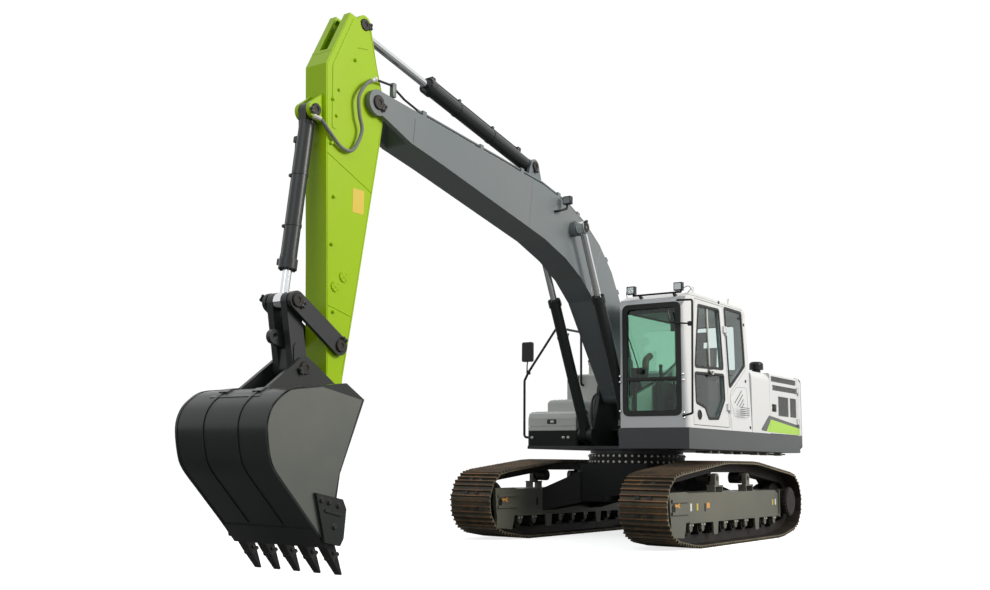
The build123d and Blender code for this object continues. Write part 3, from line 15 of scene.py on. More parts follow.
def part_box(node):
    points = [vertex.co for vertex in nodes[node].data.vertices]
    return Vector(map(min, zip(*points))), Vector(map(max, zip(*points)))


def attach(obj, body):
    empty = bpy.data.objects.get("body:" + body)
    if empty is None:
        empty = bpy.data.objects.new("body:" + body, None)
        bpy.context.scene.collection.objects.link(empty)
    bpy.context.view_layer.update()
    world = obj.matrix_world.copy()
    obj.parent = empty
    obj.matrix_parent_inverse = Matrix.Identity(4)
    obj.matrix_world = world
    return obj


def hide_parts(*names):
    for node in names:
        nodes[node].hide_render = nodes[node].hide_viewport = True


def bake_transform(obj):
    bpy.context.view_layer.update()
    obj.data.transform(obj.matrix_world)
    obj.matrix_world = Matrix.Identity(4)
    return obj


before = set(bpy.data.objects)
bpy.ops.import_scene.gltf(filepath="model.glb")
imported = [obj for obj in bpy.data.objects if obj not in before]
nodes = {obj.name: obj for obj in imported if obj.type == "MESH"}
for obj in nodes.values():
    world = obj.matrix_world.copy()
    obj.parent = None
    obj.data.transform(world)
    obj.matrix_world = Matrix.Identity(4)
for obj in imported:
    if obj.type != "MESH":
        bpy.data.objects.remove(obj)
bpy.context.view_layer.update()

bpy.context.scene.view_settings.view_transform = "Standard"

# %% [markdown]
# ## Camera
# The machine is seen from its front left corner, from about head height and fourteen metres away, so
# the bucket comes near the lens and the tail falls away. A camera is placed by its position and by
# where it points: yaw, pitch and a slight roll give the three columns of its matrix.

# %% Camera
CAMERA_PLACE = Vector((12.992, 6.757, 0.958))
CAMERA_YAW, CAMERA_PITCH, CAMERA_ROLL = (math.radians(a) for a in (-144.93, 8.93, 0.69))
FOCAL_SHARE = 1065.5 / 990     # focal length over the picture's width


def place_camera():
    ahead = Vector((math.cos(CAMERA_PITCH) * math.cos(CAMERA_YAW),
                    math.cos(CAMERA_PITCH) * math.sin(CAMERA_YAW), math.sin(CAMERA_PITCH)))
    level = ahead.cross(Vector((0, 0, 1))).normalized()
    above = level.cross(ahead)
    right = level * math.cos(CAMERA_ROLL) + above * math.sin(CAMERA_ROLL)
    up = above * math.cos(CAMERA_ROLL) - level * math.sin(CAMERA_ROLL)
    data = bpy.data.cameras.new("studio_camera")
    data.sensor_width = 36.0
    data.lens = FOCAL_SHARE * data.sensor_width
    camera = bpy.data.objects.new("studio_camera", data)
    bpy.context.scene.collection.objects.link(camera)
    turned_to = Matrix((right, up, -ahead)).transposed().to_4x4()
    camera.matrix_world = Matrix.Translation(CAMERA_PLACE) @ turned_to
    bpy.context.scene.camera = camera


place_camera()
print("camera", tuple(CAMERA_PLACE), "focal share", round(FOCAL_SHARE, 3))

# %% [markdown]
# ## Light, floor and backdrop
# Soft daylight from a white sky, with one large lamp high on the left, a little behind the machine,
# and a weak one in front. So the left sides are bright and the fronts stay in shade. The sky is shown to
# the camera and through glass as plain white, and lights the machine at a lower level.

# %% Light and floor
def srgb(code):
    """Linear colour of an sRGB hex value."""
    channels = [int(code[i:i + 2], 16) / 255 for i in (1, 3, 5)]
    return tuple(c / 12.92 if c <= 0.04045 else ((c + 0.055) / 1.055) ** 2.4 for c in channels) + (1.0,)


def add_node(tree, kind, inputs=None, **settings):
    """One node. An input takes a number, a hex colour, another node, or one of its outputs."""
    node = tree.nodes.new(kind)
    for key, value in settings.items():
        setattr(node, key, value)
    for key, value in (inputs or {}).items():
        if isinstance(value, bpy.types.Node):
            value = next(output for output in value.outputs if output.enabled)
        if isinstance(value, bpy.types.NodeSocket):
            tree.links.new(value, node.inputs[key])
        else:
            node.inputs[key].default_value = srgb(value) if isinstance(value, str) else value
    return node


def empty_tree(owner):
    """The node tree of a world or a material, with nothing in it."""
    owner.use_nodes = True
    owner.node_tree.nodes.clear()
    return owner.node_tree


def seen_rays(tree):
    """1 for rays that show the backdrop: from the camera, off gloss and through glass."""
    path = add_node(tree, "ShaderNodeLightPath").outputs
    shown = path["Is Camera Ray"]
    for kind in ("Is Glossy Ray", "Is Transmission Ray"):
        shown = add_node(tree, "ShaderNodeMath", {0: shown, 1: path[kind]}, operation="MAXIMUM")
    return shown


SKY_LEVEL, SKY_SHOWN, FLOOR_GLOW = 0.40, 1.02, 0.78
FLOOR_SIZE = 120.0


def light_sky():
    world = bpy.data.worlds.new("white_sky")
    bpy.context.scene.world = world
    tree = empty_tree(world)
    lit = add_node(tree, "ShaderNodeBackground", {"Color": "#F4F7FA", "Strength": SKY_LEVEL})
    shown = add_node(tree, "ShaderNodeBackground", {"Color": "#FFFFFF", "Strength": SKY_SHOWN})
    mix = add_node(tree, "ShaderNodeMixShader", {0: seen_rays(tree), 1: lit, 2: shown})
    add_node(tree, "ShaderNodeOutputWorld", {"Surface": mix})


def area_lamp(name, place, target, size, power, colour):
    data = bpy.data.lights.new(name, "AREA")
    data.shape = "DISK"
    data.size, data.energy, data.color = size, power, srgb(colour)[:3]
    lamp = bpy.data.objects.new(name, data)
    bpy.context.scene.collection.objects.link(lamp)
    lamp.location = place
    lamp.rotation_euler = (Vector(target) - Vector(place)).to_track_quat("-Z", "Y").to_euler()


def lay_floor():
    """A wide matt floor. The camera sees it light and a little lit, the machine sees it grey."""
    bpy.ops.mesh.primitive_plane_add(size=FLOOR_SIZE)
    floor = bpy.context.object
    floor.name = "studio_floor"
    material = bpy.data.materials.new("matt_floor_paint")
    tree = empty_tree(material)
    seen = add_node(tree, "ShaderNodeLightPath").outputs["Is Camera Ray"]
    tone = add_node(tree, "ShaderNodeMix", {0: seen, 6: "#8E8E8B", 7: "#E9E9E9"}, data_type="RGBA")
    matt = add_node(tree, "ShaderNodeBsdfDiffuse", {"Color": tone})
    none = add_node(tree, "ShaderNodeEmission", {"Strength": 0.0})
    glow = add_node(tree, "ShaderNodeEmission", {"Color": "#FFFFFF", "Strength": FLOOR_GLOW})
    shown = add_node(tree, "ShaderNodeMixShader", {0: seen, 1: none, 2: glow})
    both = add_node(tree, "ShaderNodeAddShader", {0: matt, 1: shown})
    add_node(tree, "ShaderNodeOutputMaterial", {"Surface": both})
    floor.data.materials.append(material)


bpy.ops.object.select_all(action="DESELECT")
light_sky()
lay_floor()
area_lamp("key_lamp", (-1.0, 15.0, 10.0), (1.5, 0.0, 2.0), 7.0, 2300.0, "#FFFAF2")
area_lamp("fill_lamp", (16.0, 2.0, 11.0), (2.0, 0.0, 2.0), 10.0, 420.0, "#F4F8FF")
print("lamps", len(bpy.data.lights), "floor", FLOOR_SIZE, "m wide")

# %% [markdown]
# ## Finishes
# Each finish starts from the real one. Machine paint is sprayed enamel: an even colour, a soft gloss
# with the faint waves of sprayed paint, a little dust, and chips down to primer. Worn steel is bare
# metal with brown rust where nothing rubs it. Patterns read object coordinates, in metres, so
# their scales are real sizes.

# %% Finish helpers
BLOTCH = 0.6     # size of a blotch, in steps of the noise


def new_finish(name):
    material = bpy.data.materials.new(name)
    tree = empty_tree(material)
    place = add_node(tree, "ShaderNodeTexCoord").outputs["Object"]
    return material, tree, place


def patches(tree, place, size, span=(0.0, 1.0), share=(0.0, 1.0), detail=4.0, rough=0.55):
    """Blotches about `size` metres across, whose span of values is spread over a share."""
    noise = add_node(tree, "ShaderNodeTexNoise", {"Scale": BLOTCH / size, "Detail": detail,
                                                  "Roughness": rough, "Vector": place})
    return add_node(tree, "ShaderNodeMapRange", {"From Min": span[0], "From Max": span[1],
                                                 "To Min": share[0], "To Max": share[1],
                                                 "Value": noise})


def surface(tree, colour, roughness, relief, depth, gloss):
    """Ends a finish: its relief, its shader and the output."""
    bump = add_node(tree, "ShaderNodeBump", {"Strength": 1.0, "Distance": depth, "Height": relief})
    shader = add_node(tree, "ShaderNodeBsdfPrincipled",
                      {"Base Color": colour, "Roughness": roughness, "Normal": bump, **gloss})
    add_node(tree, "ShaderNodeOutputMaterial", {"Surface": shader})


ORANGE_PEEL = 0.004     # metres from wave to wave of sprayed paint


def enamel(name, colour, dust, gloss=0.34, dusty=0.35, chips=None, shine=0.5):
    """Sprayed machine enamel: orange peel of about 4 mm, dust in soft clouds, chips to the primer."""
    material, tree, place = new_finish(name)
    dusted = patches(tree, place, 0.9, (0.42, 0.78), (0.0, dusty), 6.0)
    base = add_node(tree, "ShaderNodeMix", {0: dusted, 6: colour, 7: dust}, data_type="RGBA")
    if chips:
        spots = patches(tree, place, 0.035, (0.70, 0.74), detail=5.0, rough=0.7)
        base = add_node(tree, "ShaderNodeMix", {0: spots, 6: base, 7: chips}, data_type="RGBA")
    rough = patches(tree, place, 0.9, share=(gloss - 0.06, gloss + 0.16), detail=6.0)
    surface(tree, base, rough, patches(tree, place, ORANGE_PEEL, detail=2.0), 0.00012,
            {"IOR": 1.5, "Specular IOR Level": shine, "Coat Weight": 0.5 * shine,
             "Coat Roughness": 0.18})
    return material


# %% Finishes
lime_enamel = enamel("lime_sprayed_enamel", "#A6CE02", "#AEC01E", 0.30, 0.25, "#7FA31F", shine=0.2)
graphite_enamel = enamel("graphite_sprayed_enamel", "#70787C", "#84867F", 0.32, 0.3, shine=0.35)
charcoal_enamel = enamel("charcoal_sprayed_enamel", "#25292A", "#43443F", 0.34, 0.25, "#3F3C36", 0.3)
bucket_enamel = enamel("bucket_sprayed_enamel", "#222625", "#393B36", 0.30, 0.3, "#3A3631", 0.3)
white_enamel = enamel("white_sprayed_enamel", "#DEE0E1", "#CBC9C2", 0.26, 0.2, shine=0.4)
silver_enamel = enamel("light_grey_sprayed_enamel", "#D2D4CE", "#BDBAB0", 0.34, 0.3)
skirt_enamel = enamel("slate_sprayed_enamel", "#4C5052", "#66645D", 0.36, 0.4, shine=0.25)
frame_enamel = enamel("olive_grey_chassis_enamel", "#5E6259", "#7C786A", 0.48, 0.7, "#6B5A44")
black_enamel = enamel("black_chassis_enamel", "#101213", "#26251F", 0.5, 0.3, shine=0.15)
platform_enamel = enamel("charcoal_chassis_enamel", "#2C3031", "#47463F", 0.42, 0.4, shine=0.3)
print("enamels", sum(material.name.endswith("enamel") for material in bpy.data.materials))

# %% [markdown]
# ## Worn steel, chrome, glass and cloth
# Shoes and teeth are bare steel that soil polishes on the edges and rain rusts in between. Piston
# rods are hard chrome, ground to a mirror. The windows are green tinted safety glass.

# %% Steel, chrome and glass
def worn_steel(name, dark, rust, bright, wear=0.5):
    material, tree, place = new_finish(name)
    rusted = patches(tree, place, 0.25, (0.42, 0.62), detail=8.0, rough=0.65)
    rubbed = patches(tree, place, 0.018, (0.60, 0.72), (0.0, wear), 6.0, 0.7)
    base = add_node(tree, "ShaderNodeMix", {0: rusted, 6: dark, 7: rust}, data_type="RGBA")
    base = add_node(tree, "ShaderNodeMix", {0: rubbed, 6: base, 7: bright}, data_type="RGBA")
    rough = patches(tree, place, 0.018, share=(0.72, 0.42), detail=6.0, rough=0.7)
    grain = patches(tree, place, 0.018, detail=6.0, rough=0.7)
    surface(tree, base, rough, grain, 0.0015, {"Metallic": 0.35})
    return material


def plain_metal(name, colour, rough_low, rough_high, size=0.02, stretch=(1.0, 1.0, 1.0), metallic=1.0):
    material, tree, place = new_finish(name)
    place = add_node(tree, "ShaderNodeMapping", {"Scale": stretch, "Vector": place})
    film = patches(tree, place, size, rough=0.6)
    gloss = patches(tree, place, size, share=(rough_low, rough_high), rough=0.6)
    surface(tree, colour, gloss, film, 0.00005, {"Metallic": metallic})
    return material


GLASS_IOR = 1.5
SCREEN_X = (1.23, 1.24)     # ahead of this plane the glass is the windscreen


def tinted_glass(name, tint, side_tint):
    """Safety glass: a thin sheet that lets most light through and mirrors the rest. The front pane
    has a tint of its own."""
    material, tree, place = new_finish(name)
    ahead = add_node(tree, "ShaderNodeSeparateXYZ", {0: place}).outputs[0]
    front = add_node(tree, "ShaderNodeMapRange", {"From Min": SCREEN_X[0], "From Max": SCREEN_X[1],
                                                  "Value": ahead})
    tone = add_node(tree, "ShaderNodeMix", {0: front, 6: side_tint, 7: tint}, data_type="RGBA")
    through = add_node(tree, "ShaderNodeBsdfTransparent", {"Color": tone})
    film = patches(tree, place, 0.25, share=(0.02, 0.09), detail=5.0)
    gloss = add_node(tree, "ShaderNodeBsdfPrincipled",
                     {"Base Color": "#F4F8F7", "Metallic": 1.0, "Roughness": film})
    edge = add_node(tree, "ShaderNodeFresnel", {"IOR": GLASS_IOR})
    inner = add_node(tree, "ShaderNodeNewGeometry").outputs["Backfacing"]
    outer = add_node(tree, "ShaderNodeMath", {0: 1.0, 1: inner}, operation="SUBTRACT")
    share = add_node(tree, "ShaderNodeMath", {0: edge, 1: outer}, operation="MULTIPLY")
    mix = add_node(tree, "ShaderNodeMixShader", {0: share, 1: through, 2: gloss})
    add_node(tree, "ShaderNodeOutputMaterial", {"Surface": mix})
    return material


def moulded(name, colour, rough, lighter, grain_size=0.0025, depth=0.0002):
    """Moulded rubber or plastic with a fine leather grain."""
    material, tree, place = new_finish(name)
    faded = patches(tree, place, 0.15, (0.4, 0.75), (0.0, 0.5), 5.0)
    base = add_node(tree, "ShaderNodeMix", {0: faded, 6: colour, 7: lighter}, data_type="RGBA")
    gloss = patches(tree, place, 0.15, share=(rough - 0.08, rough + 0.1), detail=5.0)
    surface(tree, base, gloss, patches(tree, place, grain_size, detail=3.0), depth, {"IOR": 1.48})
    return material


shoe_steel = worn_steel("rolled_shoe_steel", "#3E3B31", "#5B4F3B", "#8C806A", 0.5)
chain_steel = worn_steel("forged_chain_steel", "#1C1C1A", "#2E2822", "#55504A", 0.25)
tooth_steel = worn_steel("cast_tooth_steel", "#222222", "#2E2C2A", "#6A6662", 0.3)
hard_chrome = plain_metal("hard_chrome", "#D9DCDE", 0.05, 0.14, 0.03, (1.0, 1.0, 0.2))
zinc_steel = plain_metal("zinc_plated_steel", "#D6D5CD", 0.28, 0.45, metallic=0.3)
cast_iron = worn_steel("cast_iron", "#3A3A3A", "#4B4742", "#6A6762", 0.3)
green_glass = tinted_glass("green_safety_glass", "#C4E4D3", "#E6EFED")
black_rubber = moulded("black_rubber", "#161718", 0.6, "#262626")
cab_plastic = moulded("grey_abs_plastic", "#2B2E30", 0.6, "#373A3C")
black_rail_paint = enamel("black_rail_enamel", "#151618", "#33322E", 0.3, 0.3, shine=0.25)
exhaust_steel = worn_steel("aluminised_exhaust_steel", "#5A5854", "#6E5A48", "#8E8A84", 0.3)
seat_cloth = moulded("woven_seat_cloth", "#3A3D3F", 0.85, "#4A4D4F", 0.002, 0.0004)
print("finishes", len(bpy.data.materials))

# %% [markdown]
# ## Finishes on the solids
# The solids whose shape is already right keep their place, and only get a finish.

# %% Paint the solids
PAINT = {
    lime_enamel: ["arm"],
    graphite_enamel: ["boom", "boom_pipes"],
    bucket_enamel: ["bucket"],
    charcoal_enamel: ["idler_links", "power_link", "boom_cylinder_barrel", "arm_cylinder_barrel",
                      "bucket_cylinder_barrel"],
    hard_chrome: ["boom_cylinder_rod", "arm_cylinder_rod", "bucket_cylinder_rod"],
    black_rail_paint: ["handrails", "mirrors", "work_lamps", "air_cleaner"],
    exhaust_steel: ["exhaust_pipe"],
    white_enamel: ["cab_shell", "cab_door", "body_panels", "cooler_door", "pump_door", "engine_hood"],
    silver_enamel: ["toolbox", "toolbox_lid", "step_box", "fuel_tank", "oil_tank"],
    skirt_enamel: ["skirts", "counterweight"],
    frame_enamel: ["track_frame_left", "track_frame_right"],
    black_enamel: ["carbody", "swing_bearing"],
    platform_enamel: ["platform"],
    shoe_steel: ["track_left", "track_right"],
    chain_steel: ["track_rollers", "carrier_rollers", "idlers", "sprockets"],
    cast_iron: ["engine"],
    green_glass: ["cab_glass", "door_glass"],
    cab_plastic: ["cab_controls"],
    seat_cloth: ["operator_seat"],
}


def paint(node, material):
    slots = nodes[node].data.materials
    slots.clear()
    slots.append(material)


for material, names in PAINT.items():
    for name in names:
        paint(name, material)
print("painted", sum(len(names) for names in PAINT.values()), "of", len(nodes))

# %% [markdown]
# ## Tools for the small pieces
# The pieces that follow are sheet, bar and turned work, so four helpers make most of them. A sheet
# is a flat closed curve with a thickness and a broken edge, turned into a mesh. A tube is a round
# curve. A turned part starts as a disc that is extruded and resized ring by ring, as on a lathe. A
# block is a cube whose edges are bevelled. A part that repeats is made round the origin, and its
# copies are set in their places in their meshes.

# %% Helpers for modelling
SIDE = Matrix(((1, 0, 0, 0), (0, 0, -1, 0), (0, 1, 0, 0), (0, 0, 0, 1)))    # drawn in X and Z
FRONT = Matrix(((0, 0, 1, 0), (1, 0, 0, 0), (0, 1, 0, 0), (0, 0, 0, 1)))    # drawn in Y and Z


def at(x, y, z):
    return Matrix.Translation((x, y, z))


def turn(angle, axis):
    return Matrix.Rotation(math.radians(angle), 4, axis)


def start():
    """Nothing is selected, and the mode is object mode."""
    active = bpy.context.view_layer.objects.active
    if active and active.mode != "OBJECT":
        bpy.ops.object.mode_set(mode="OBJECT")
    bpy.ops.object.select_all(action="DESELECT")


def pick(piece):
    """Only this piece is selected, and it is the active one."""
    start()
    piece.select_set(True)
    bpy.context.view_layer.objects.active = piece


def duplicate(piece):
    """Picked copy of a piece, with a mesh of its own."""
    twin = piece.copy()
    twin.data = piece.data.copy()
    bpy.context.scene.collection.objects.link(twin)
    pick(twin)
    return twin


def apply_modifier(piece, kind, **settings):
    bpy.context.view_layer.objects.active = piece
    modifier = piece.modifiers.new(kind.lower(), kind)
    for key, value in settings.items():
        setattr(modifier, key, value)
    bpy.ops.object.modifier_apply(modifier=modifier.name)


def curve_mesh(name, loops, closed, **settings):
    """Straight-sided curves turned into one mesh."""
    curve = bpy.data.curves.new(name, "CURVE")
    for key, value in settings.items():
        setattr(curve, key, value)
    for points in loops:
        spline = curve.splines.new("POLY")
        spline.points.add(len(points) - 1)
        for target, point in zip(spline.points, points):
            target.co = (*point, *(0.0,) * (3 - len(point)), 1.0)
        spline.use_cyclic_u = closed
    piece = bpy.data.objects.new(name, curve)
    bpy.context.scene.collection.objects.link(piece)
    pick(piece)
    bpy.ops.object.convert(target="MESH")
    return bpy.context.object


def rounded(points, radius, closed=True, steps=5):
    """The points with an arc in place of each corner."""
    line = []
    count = len(points)
    for index, corner in enumerate(points):
        if not closed and index in (0, count - 1):
            line.append(tuple(corner))
            continue
        corner = Vector(corner)
        before = Vector(points[index - 1]) - corner
        after = Vector(points[(index + 1) % count]) - corner
        half = before.angle(after) / 2
        reach = min(radius / math.tan(half), 0.49 * before.length, 0.49 * after.length)
        a, b = corner + before.normalized() * reach, corner + after.normalized() * reach
        for step in range(steps + 1):
            t = step / steps
            line.append(tuple(a * (1 - t) ** 2 + corner * (2 * t * (1 - t)) + b * t ** 2))
    return line


def sheet(name, loops, thick, edge=0.001, place=Matrix()):
    """Flat sheet with its middle in the drawing plane. Loops after the first are holes."""
    edge = min(edge, thick * 0.45)
    piece = curve_mesh(name, loops, True, dimensions="2D", fill_mode="BOTH", extrude=thick / 2 - edge,
                       bevel_depth=edge, bevel_resolution=0, offset=-edge)
    piece.data.transform(place)
    return piece


def box_points(x_low, x_high, y_low, y_high):
    return [(x_low, y_low), (x_high, y_low), (x_high, y_high), (x_low, y_high)]


def plate(name, box, corner, thick, edge=0.001, place=Matrix(), steps=5):
    """Flat sheet with four round corners."""
    return sheet(name, [rounded(box_points(*box), corner, steps=steps)], thick, edge, place)


def smooth_line(points, steps=5):
    """Curve through all the points, as a rolled plate or a hose bends."""
    line = []
    last = len(points) - 1
    for index in range(last):
        a, b, c, d = (Vector(points[max(0, min(index + k, last))]) for k in (-1, 0, 1, 2))
        for step in range(steps):
            t = step / steps
            line.append(tuple(0.5 * (2 * b + (c - a) * t + (2 * a - 5 * b + 4 * c - d) * t ** 2
                                     + (3 * b - a - 3 * c + d) * t ** 3)))
    return line + [points[-1]]


def swept(name, line, radius, sides=3):
    """Round bar along a line."""
    return curve_mesh(name, [line], False, dimensions="3D", fill_mode="FULL", bevel_depth=radius,
                      bevel_resolution=sides, use_fill_caps=True)


def tube(name, points, radius, bend=0.05, sides=3):
    """Round bar with bends at its corners."""
    return swept(name, rounded(points, bend, False), radius, sides)


def turned(name, rings, place=Matrix(), sides=20):
    """Turned part. Rings are (radius, height), from the foot up. It stands on the drawing plane."""
    start()
    radius, height = rings[0]
    bpy.ops.mesh.primitive_circle_add(vertices=sides, radius=radius, fill_type="NGON",
                                      location=(0, 0, height))
    piece = bpy.context.object
    piece.name = name
    bpy.ops.object.transform_apply(location=True)
    bpy.ops.object.mode_set(mode="EDIT")
    bpy.ops.mesh.select_all(action="SELECT")
    bpy.ops.mesh.normals_make_consistent(inside=False)
    for ring_radius, ring_height in rings[1:]:
        share = ring_radius / radius
        bpy.ops.mesh.extrude_region_move(TRANSFORM_OT_translate={"value": (0, 0, ring_height - height)})
        bpy.ops.transform.resize(value=(share, share, 1), center_override=(0, 0, ring_height))
        radius, height = ring_radius, ring_height
    bpy.ops.mesh.select_all(action="SELECT")
    bpy.ops.mesh.normals_make_consistent(inside=False)
    bpy.ops.object.mode_set(mode="OBJECT")
    piece.data.transform(place)
    return piece


def cushion_block(name, low, high, edge, steps=2):
    """Block with bevelled edges between two corners."""
    start()
    middle = [(a + b) / 2 for a, b in zip(low, high)]
    bpy.ops.mesh.primitive_cube_add(size=1.0, location=middle, scale=[b - a for a, b in zip(low, high)])
    piece = bpy.context.object
    piece.name = name
    bpy.ops.object.transform_apply(location=True, scale=True)
    apply_modifier(piece, "BEVEL", width=edge, segments=steps, limit_method="NONE")
    return piece


def gather(name, parts):
    """The parts joined into the first of them."""
    start()
    for part in parts:
        part.select_set(True)
    bpy.context.view_layer.objects.active = parts[0]
    if len(parts) > 1:
        bpy.ops.object.join()
    parts[0].name = name
    return parts[0]


def copies(piece, places):
    """The piece's copies at all the places, joined. The piece itself goes."""
    twins = [duplicate(piece) for _ in places]
    for twin, place in zip(twins, places):
        twin.data.transform(place)
    name = piece.name
    bpy.data.objects.remove(piece)
    return gather(name, twins[::-1])


def both_sides(x, y, z, spin=0.0):
    """Places on the left and on the right face of a body, turned round the axis across it."""
    return [at(x, y, z) @ turn(-90, "X") @ turn(spin, "Z"),
            at(x, -y, z) @ turn(90, "X") @ turn(-spin, "Z")]


def finish_piece(piece, name, material, body, place=None, angle=35):
    """Name, place in the mesh, smooth shading, finish and body of a piece or of its parts."""
    if isinstance(piece, list):
        piece = gather(name, piece)
    if place is not None:
        piece.data.transform(place)
        if place.determinant() < 0:
            piece.data.flip_normals()
    piece.name = name
    piece.data.materials.clear()
    piece.data.materials.append(material)
    pick(piece)
    bpy.ops.object.shade_smooth_by_angle(angle=math.radians(angle))
    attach(piece, body)
    return piece


def loosen(piece):
    """A piece that no body carries, with its mesh in the frame's coordinates."""
    piece.parent = None
    piece.matrix_world = Matrix()


def middle_y(name):
    """Middle of a solid across the machine."""
    low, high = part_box(name)
    return (low[1] + high[1]) / 2


def bolt(radius, height, washer=1.35):
    """Hexagon bolt on its washer, standing up from the drawing plane."""
    head = turned("bolt_head", [(radius, 0.0), (radius, height * 0.85), (radius * 0.82, height)],
                  sides=6)
    ring = turned("washer", [(radius * washer, 0.0), (radius * washer, height * 0.18),
                             (radius * washer * 0.9, height * 0.22)], sides=16)
    return gather("bolt", [head, ring])


print("helpers ready")

# %% [markdown]
# ## Window seals
# Every pane of the cab sits in a black rubber profile that laps over the steel and over the glass. A
# sheet with a hole makes such a frame: the outline of the opening grown for the outer edge, and drawn
# in for the inner one. The door side leans in by two degrees, so its pieces are made upright and
# leaned.

# %% Window seals
LEAN = at(0, 1.36, 1.3973) @ turn(2, "X") @ at(0, -1.36, -1.3973)
CAB_SIDE, CAB_NOSE, CAB_RIGHT, CAB_REAR = 1.360, 1.274, 0.420, -0.704
DOOR_UPPER = [(0.850, 2.925), (0.209, 2.940), (0.165, 2.168), (1.028, 2.133)]
DOOR_LOWER = [(1.036, 2.070), (0.162, 2.103), (0.165, 1.778), (0.399, 1.526), (0.691, 1.515),
              (0.789, 1.651), (1.040, 1.697)]
SIDE_REAR = [(0.035, 2.990), (-0.001, 1.934), (-0.560, 2.268), (-0.535, 2.990)]
RIGHT_PANE = [(1.120, 2.860), (1.120, 1.750), (0.200, 2.050), (-0.380, 2.330), (-0.380, 2.880)]
SCREEN = box_points(0.495, 1.255, 1.551, 2.900)
REAR_PANE = box_points(0.570, 1.160, 2.150, 2.850)


def grown(points, by):
    """Outline moved outwards by a distance, or inwards if it is below 0."""
    area = sum(a[0] * b[1] - b[0] * a[1] for a, b in zip(points, points[1:] + points[:1]))
    out = by if area > 0 else -by
    moved = []
    for index, corner in enumerate(points):
        before = (Vector(corner) - Vector(points[index - 1])).normalized()
        after = (Vector(points[(index + 1) % len(points)]) - Vector(corner)).normalized()
        normals = [Vector((run.y, -run.x)) for run in (before, after)]
        middle = (normals[0] + normals[1]).normalized()
        moved.append(tuple(Vector(corner) + middle * (out / middle.dot(normals[0]))))
    return moved


def seal(name, outline, lap_out, lap_in, thick, place, corner=0.05):
    """Rubber frame that laps over the steel and the glass round a window's outline."""
    outer = rounded(grown(outline, lap_out), corner + lap_out)
    inner = rounded(grown(outline, -lap_in), max(corner - lap_in / 2, 0.02))
    return sheet(name, [outer, inner], thick, 0.002, place)


DOOR_PLANE = LEAN @ at(0, CAB_SIDE + 0.001, 0) @ SIDE
screen_seal = seal("screen", SCREEN, 0.016, 0.052, 0.026, at(CAB_NOSE - 0.005, 0, 0) @ FRONT, 0.075)
screen_bar = cushion_block("bar", (1.256, 0.52, 1.962), (1.280, 1.23, 2.006), 0.004)
right_seal = seal("right", RIGHT_PANE, 0.014, 0.022, 0.010, at(0, CAB_RIGHT - 0.002, 0) @ SIDE)
rear_seal = seal("rear", REAR_PANE, 0.014, 0.022, 0.010, at(CAB_REAR - 0.002, 0, 0) @ FRONT)
side_seal = seal("side", SIDE_REAR, 0.012, 0.030, 0.010, DOOR_PLANE, 0.04)
cab_seals = [screen_seal, screen_bar, right_seal, rear_seal, side_seal]
finish_piece(cab_seals, "cab_window_seals", black_rubber, "upper")
door_seals = [seal("door", outline, 0.010, 0.022, 0.010, DOOR_PLANE, 0.04)
              for outline in (DOOR_UPPER, DOOR_LOWER)]
finish_piece(door_seals, "door_window_seals", black_rubber, "cab_door")
print("window seals:", len(cab_seals), "on the cab,", len(door_seals), "on the door")

# %% [markdown]
# ## Door fittings
# The upper door window slides, so a bright channel stands in its middle. Below it lies the pull
# handle in a black cup, and at the foot of the door a round black air vent with a ring and slats.

# %% Door fittings
channel = cushion_block("channel", (0.548, CAB_SIDE - 0.026, 2.165),
                        (0.572, CAB_SIDE - 0.004, 2.925), 0.003)
finish_piece(channel, "door_glass_channel", zinc_steel, "cab_door", LEAN)

CUP = [(0.660, 2.140), (0.500, 2.140), (0.520, 2.062), (0.580, 2.036), (0.640, 2.062)]
cup = sheet("cup", [rounded(CUP, 0.02)], 0.006, 0.002, at(0, CAB_SIDE + 0.003, 0) @ SIDE)
finish_piece(cup, "door_handle_cup", cab_plastic, "cab_door", LEAN)
lever = tube("lever", [(0.640, CAB_SIDE + 0.004, 2.118), (0.635, CAB_SIDE + 0.030, 2.112),
                       (0.580, CAB_SIDE + 0.036, 2.066), (0.528, CAB_SIDE + 0.030, 2.112),
                       (0.522, CAB_SIDE + 0.004, 2.118)], 0.008, 0.02)
finish_piece(lever, "door_handle", zinc_steel, "cab_door", LEAN)

vent_place = at(0.958, CAB_SIDE - 0.012, 1.558) @ turn(-90, "X")
VENT_RINGS = [(0.047, 0.0), (0.047, 0.012), (0.060, 0.014), (0.060, 0.019), (0.050, 0.021),
              (0.046, 0.010), (0.030, 0.010), (0.014, 0.016), (0.004, 0.017)]
vent_cup = turned("vent_cup", VENT_RINGS, vent_place, 32)
vent_slat = cushion_block("vent_slat", (0.958 - 0.044, CAB_SIDE - 0.004, -0.002),
                          (0.958 + 0.044, CAB_SIDE + 0.006, 0.002), 0.001, 1)
vent_slats = copies(vent_slat, [at(0, 0, 1.558 + step * 0.013) for step in (-2, -1, 0, 1, 2)])
finish_piece([vent_cup, vent_slats], "door_vent", cab_plastic, "cab_door", LEAN)
print("door fittings: channel, handle, vent")
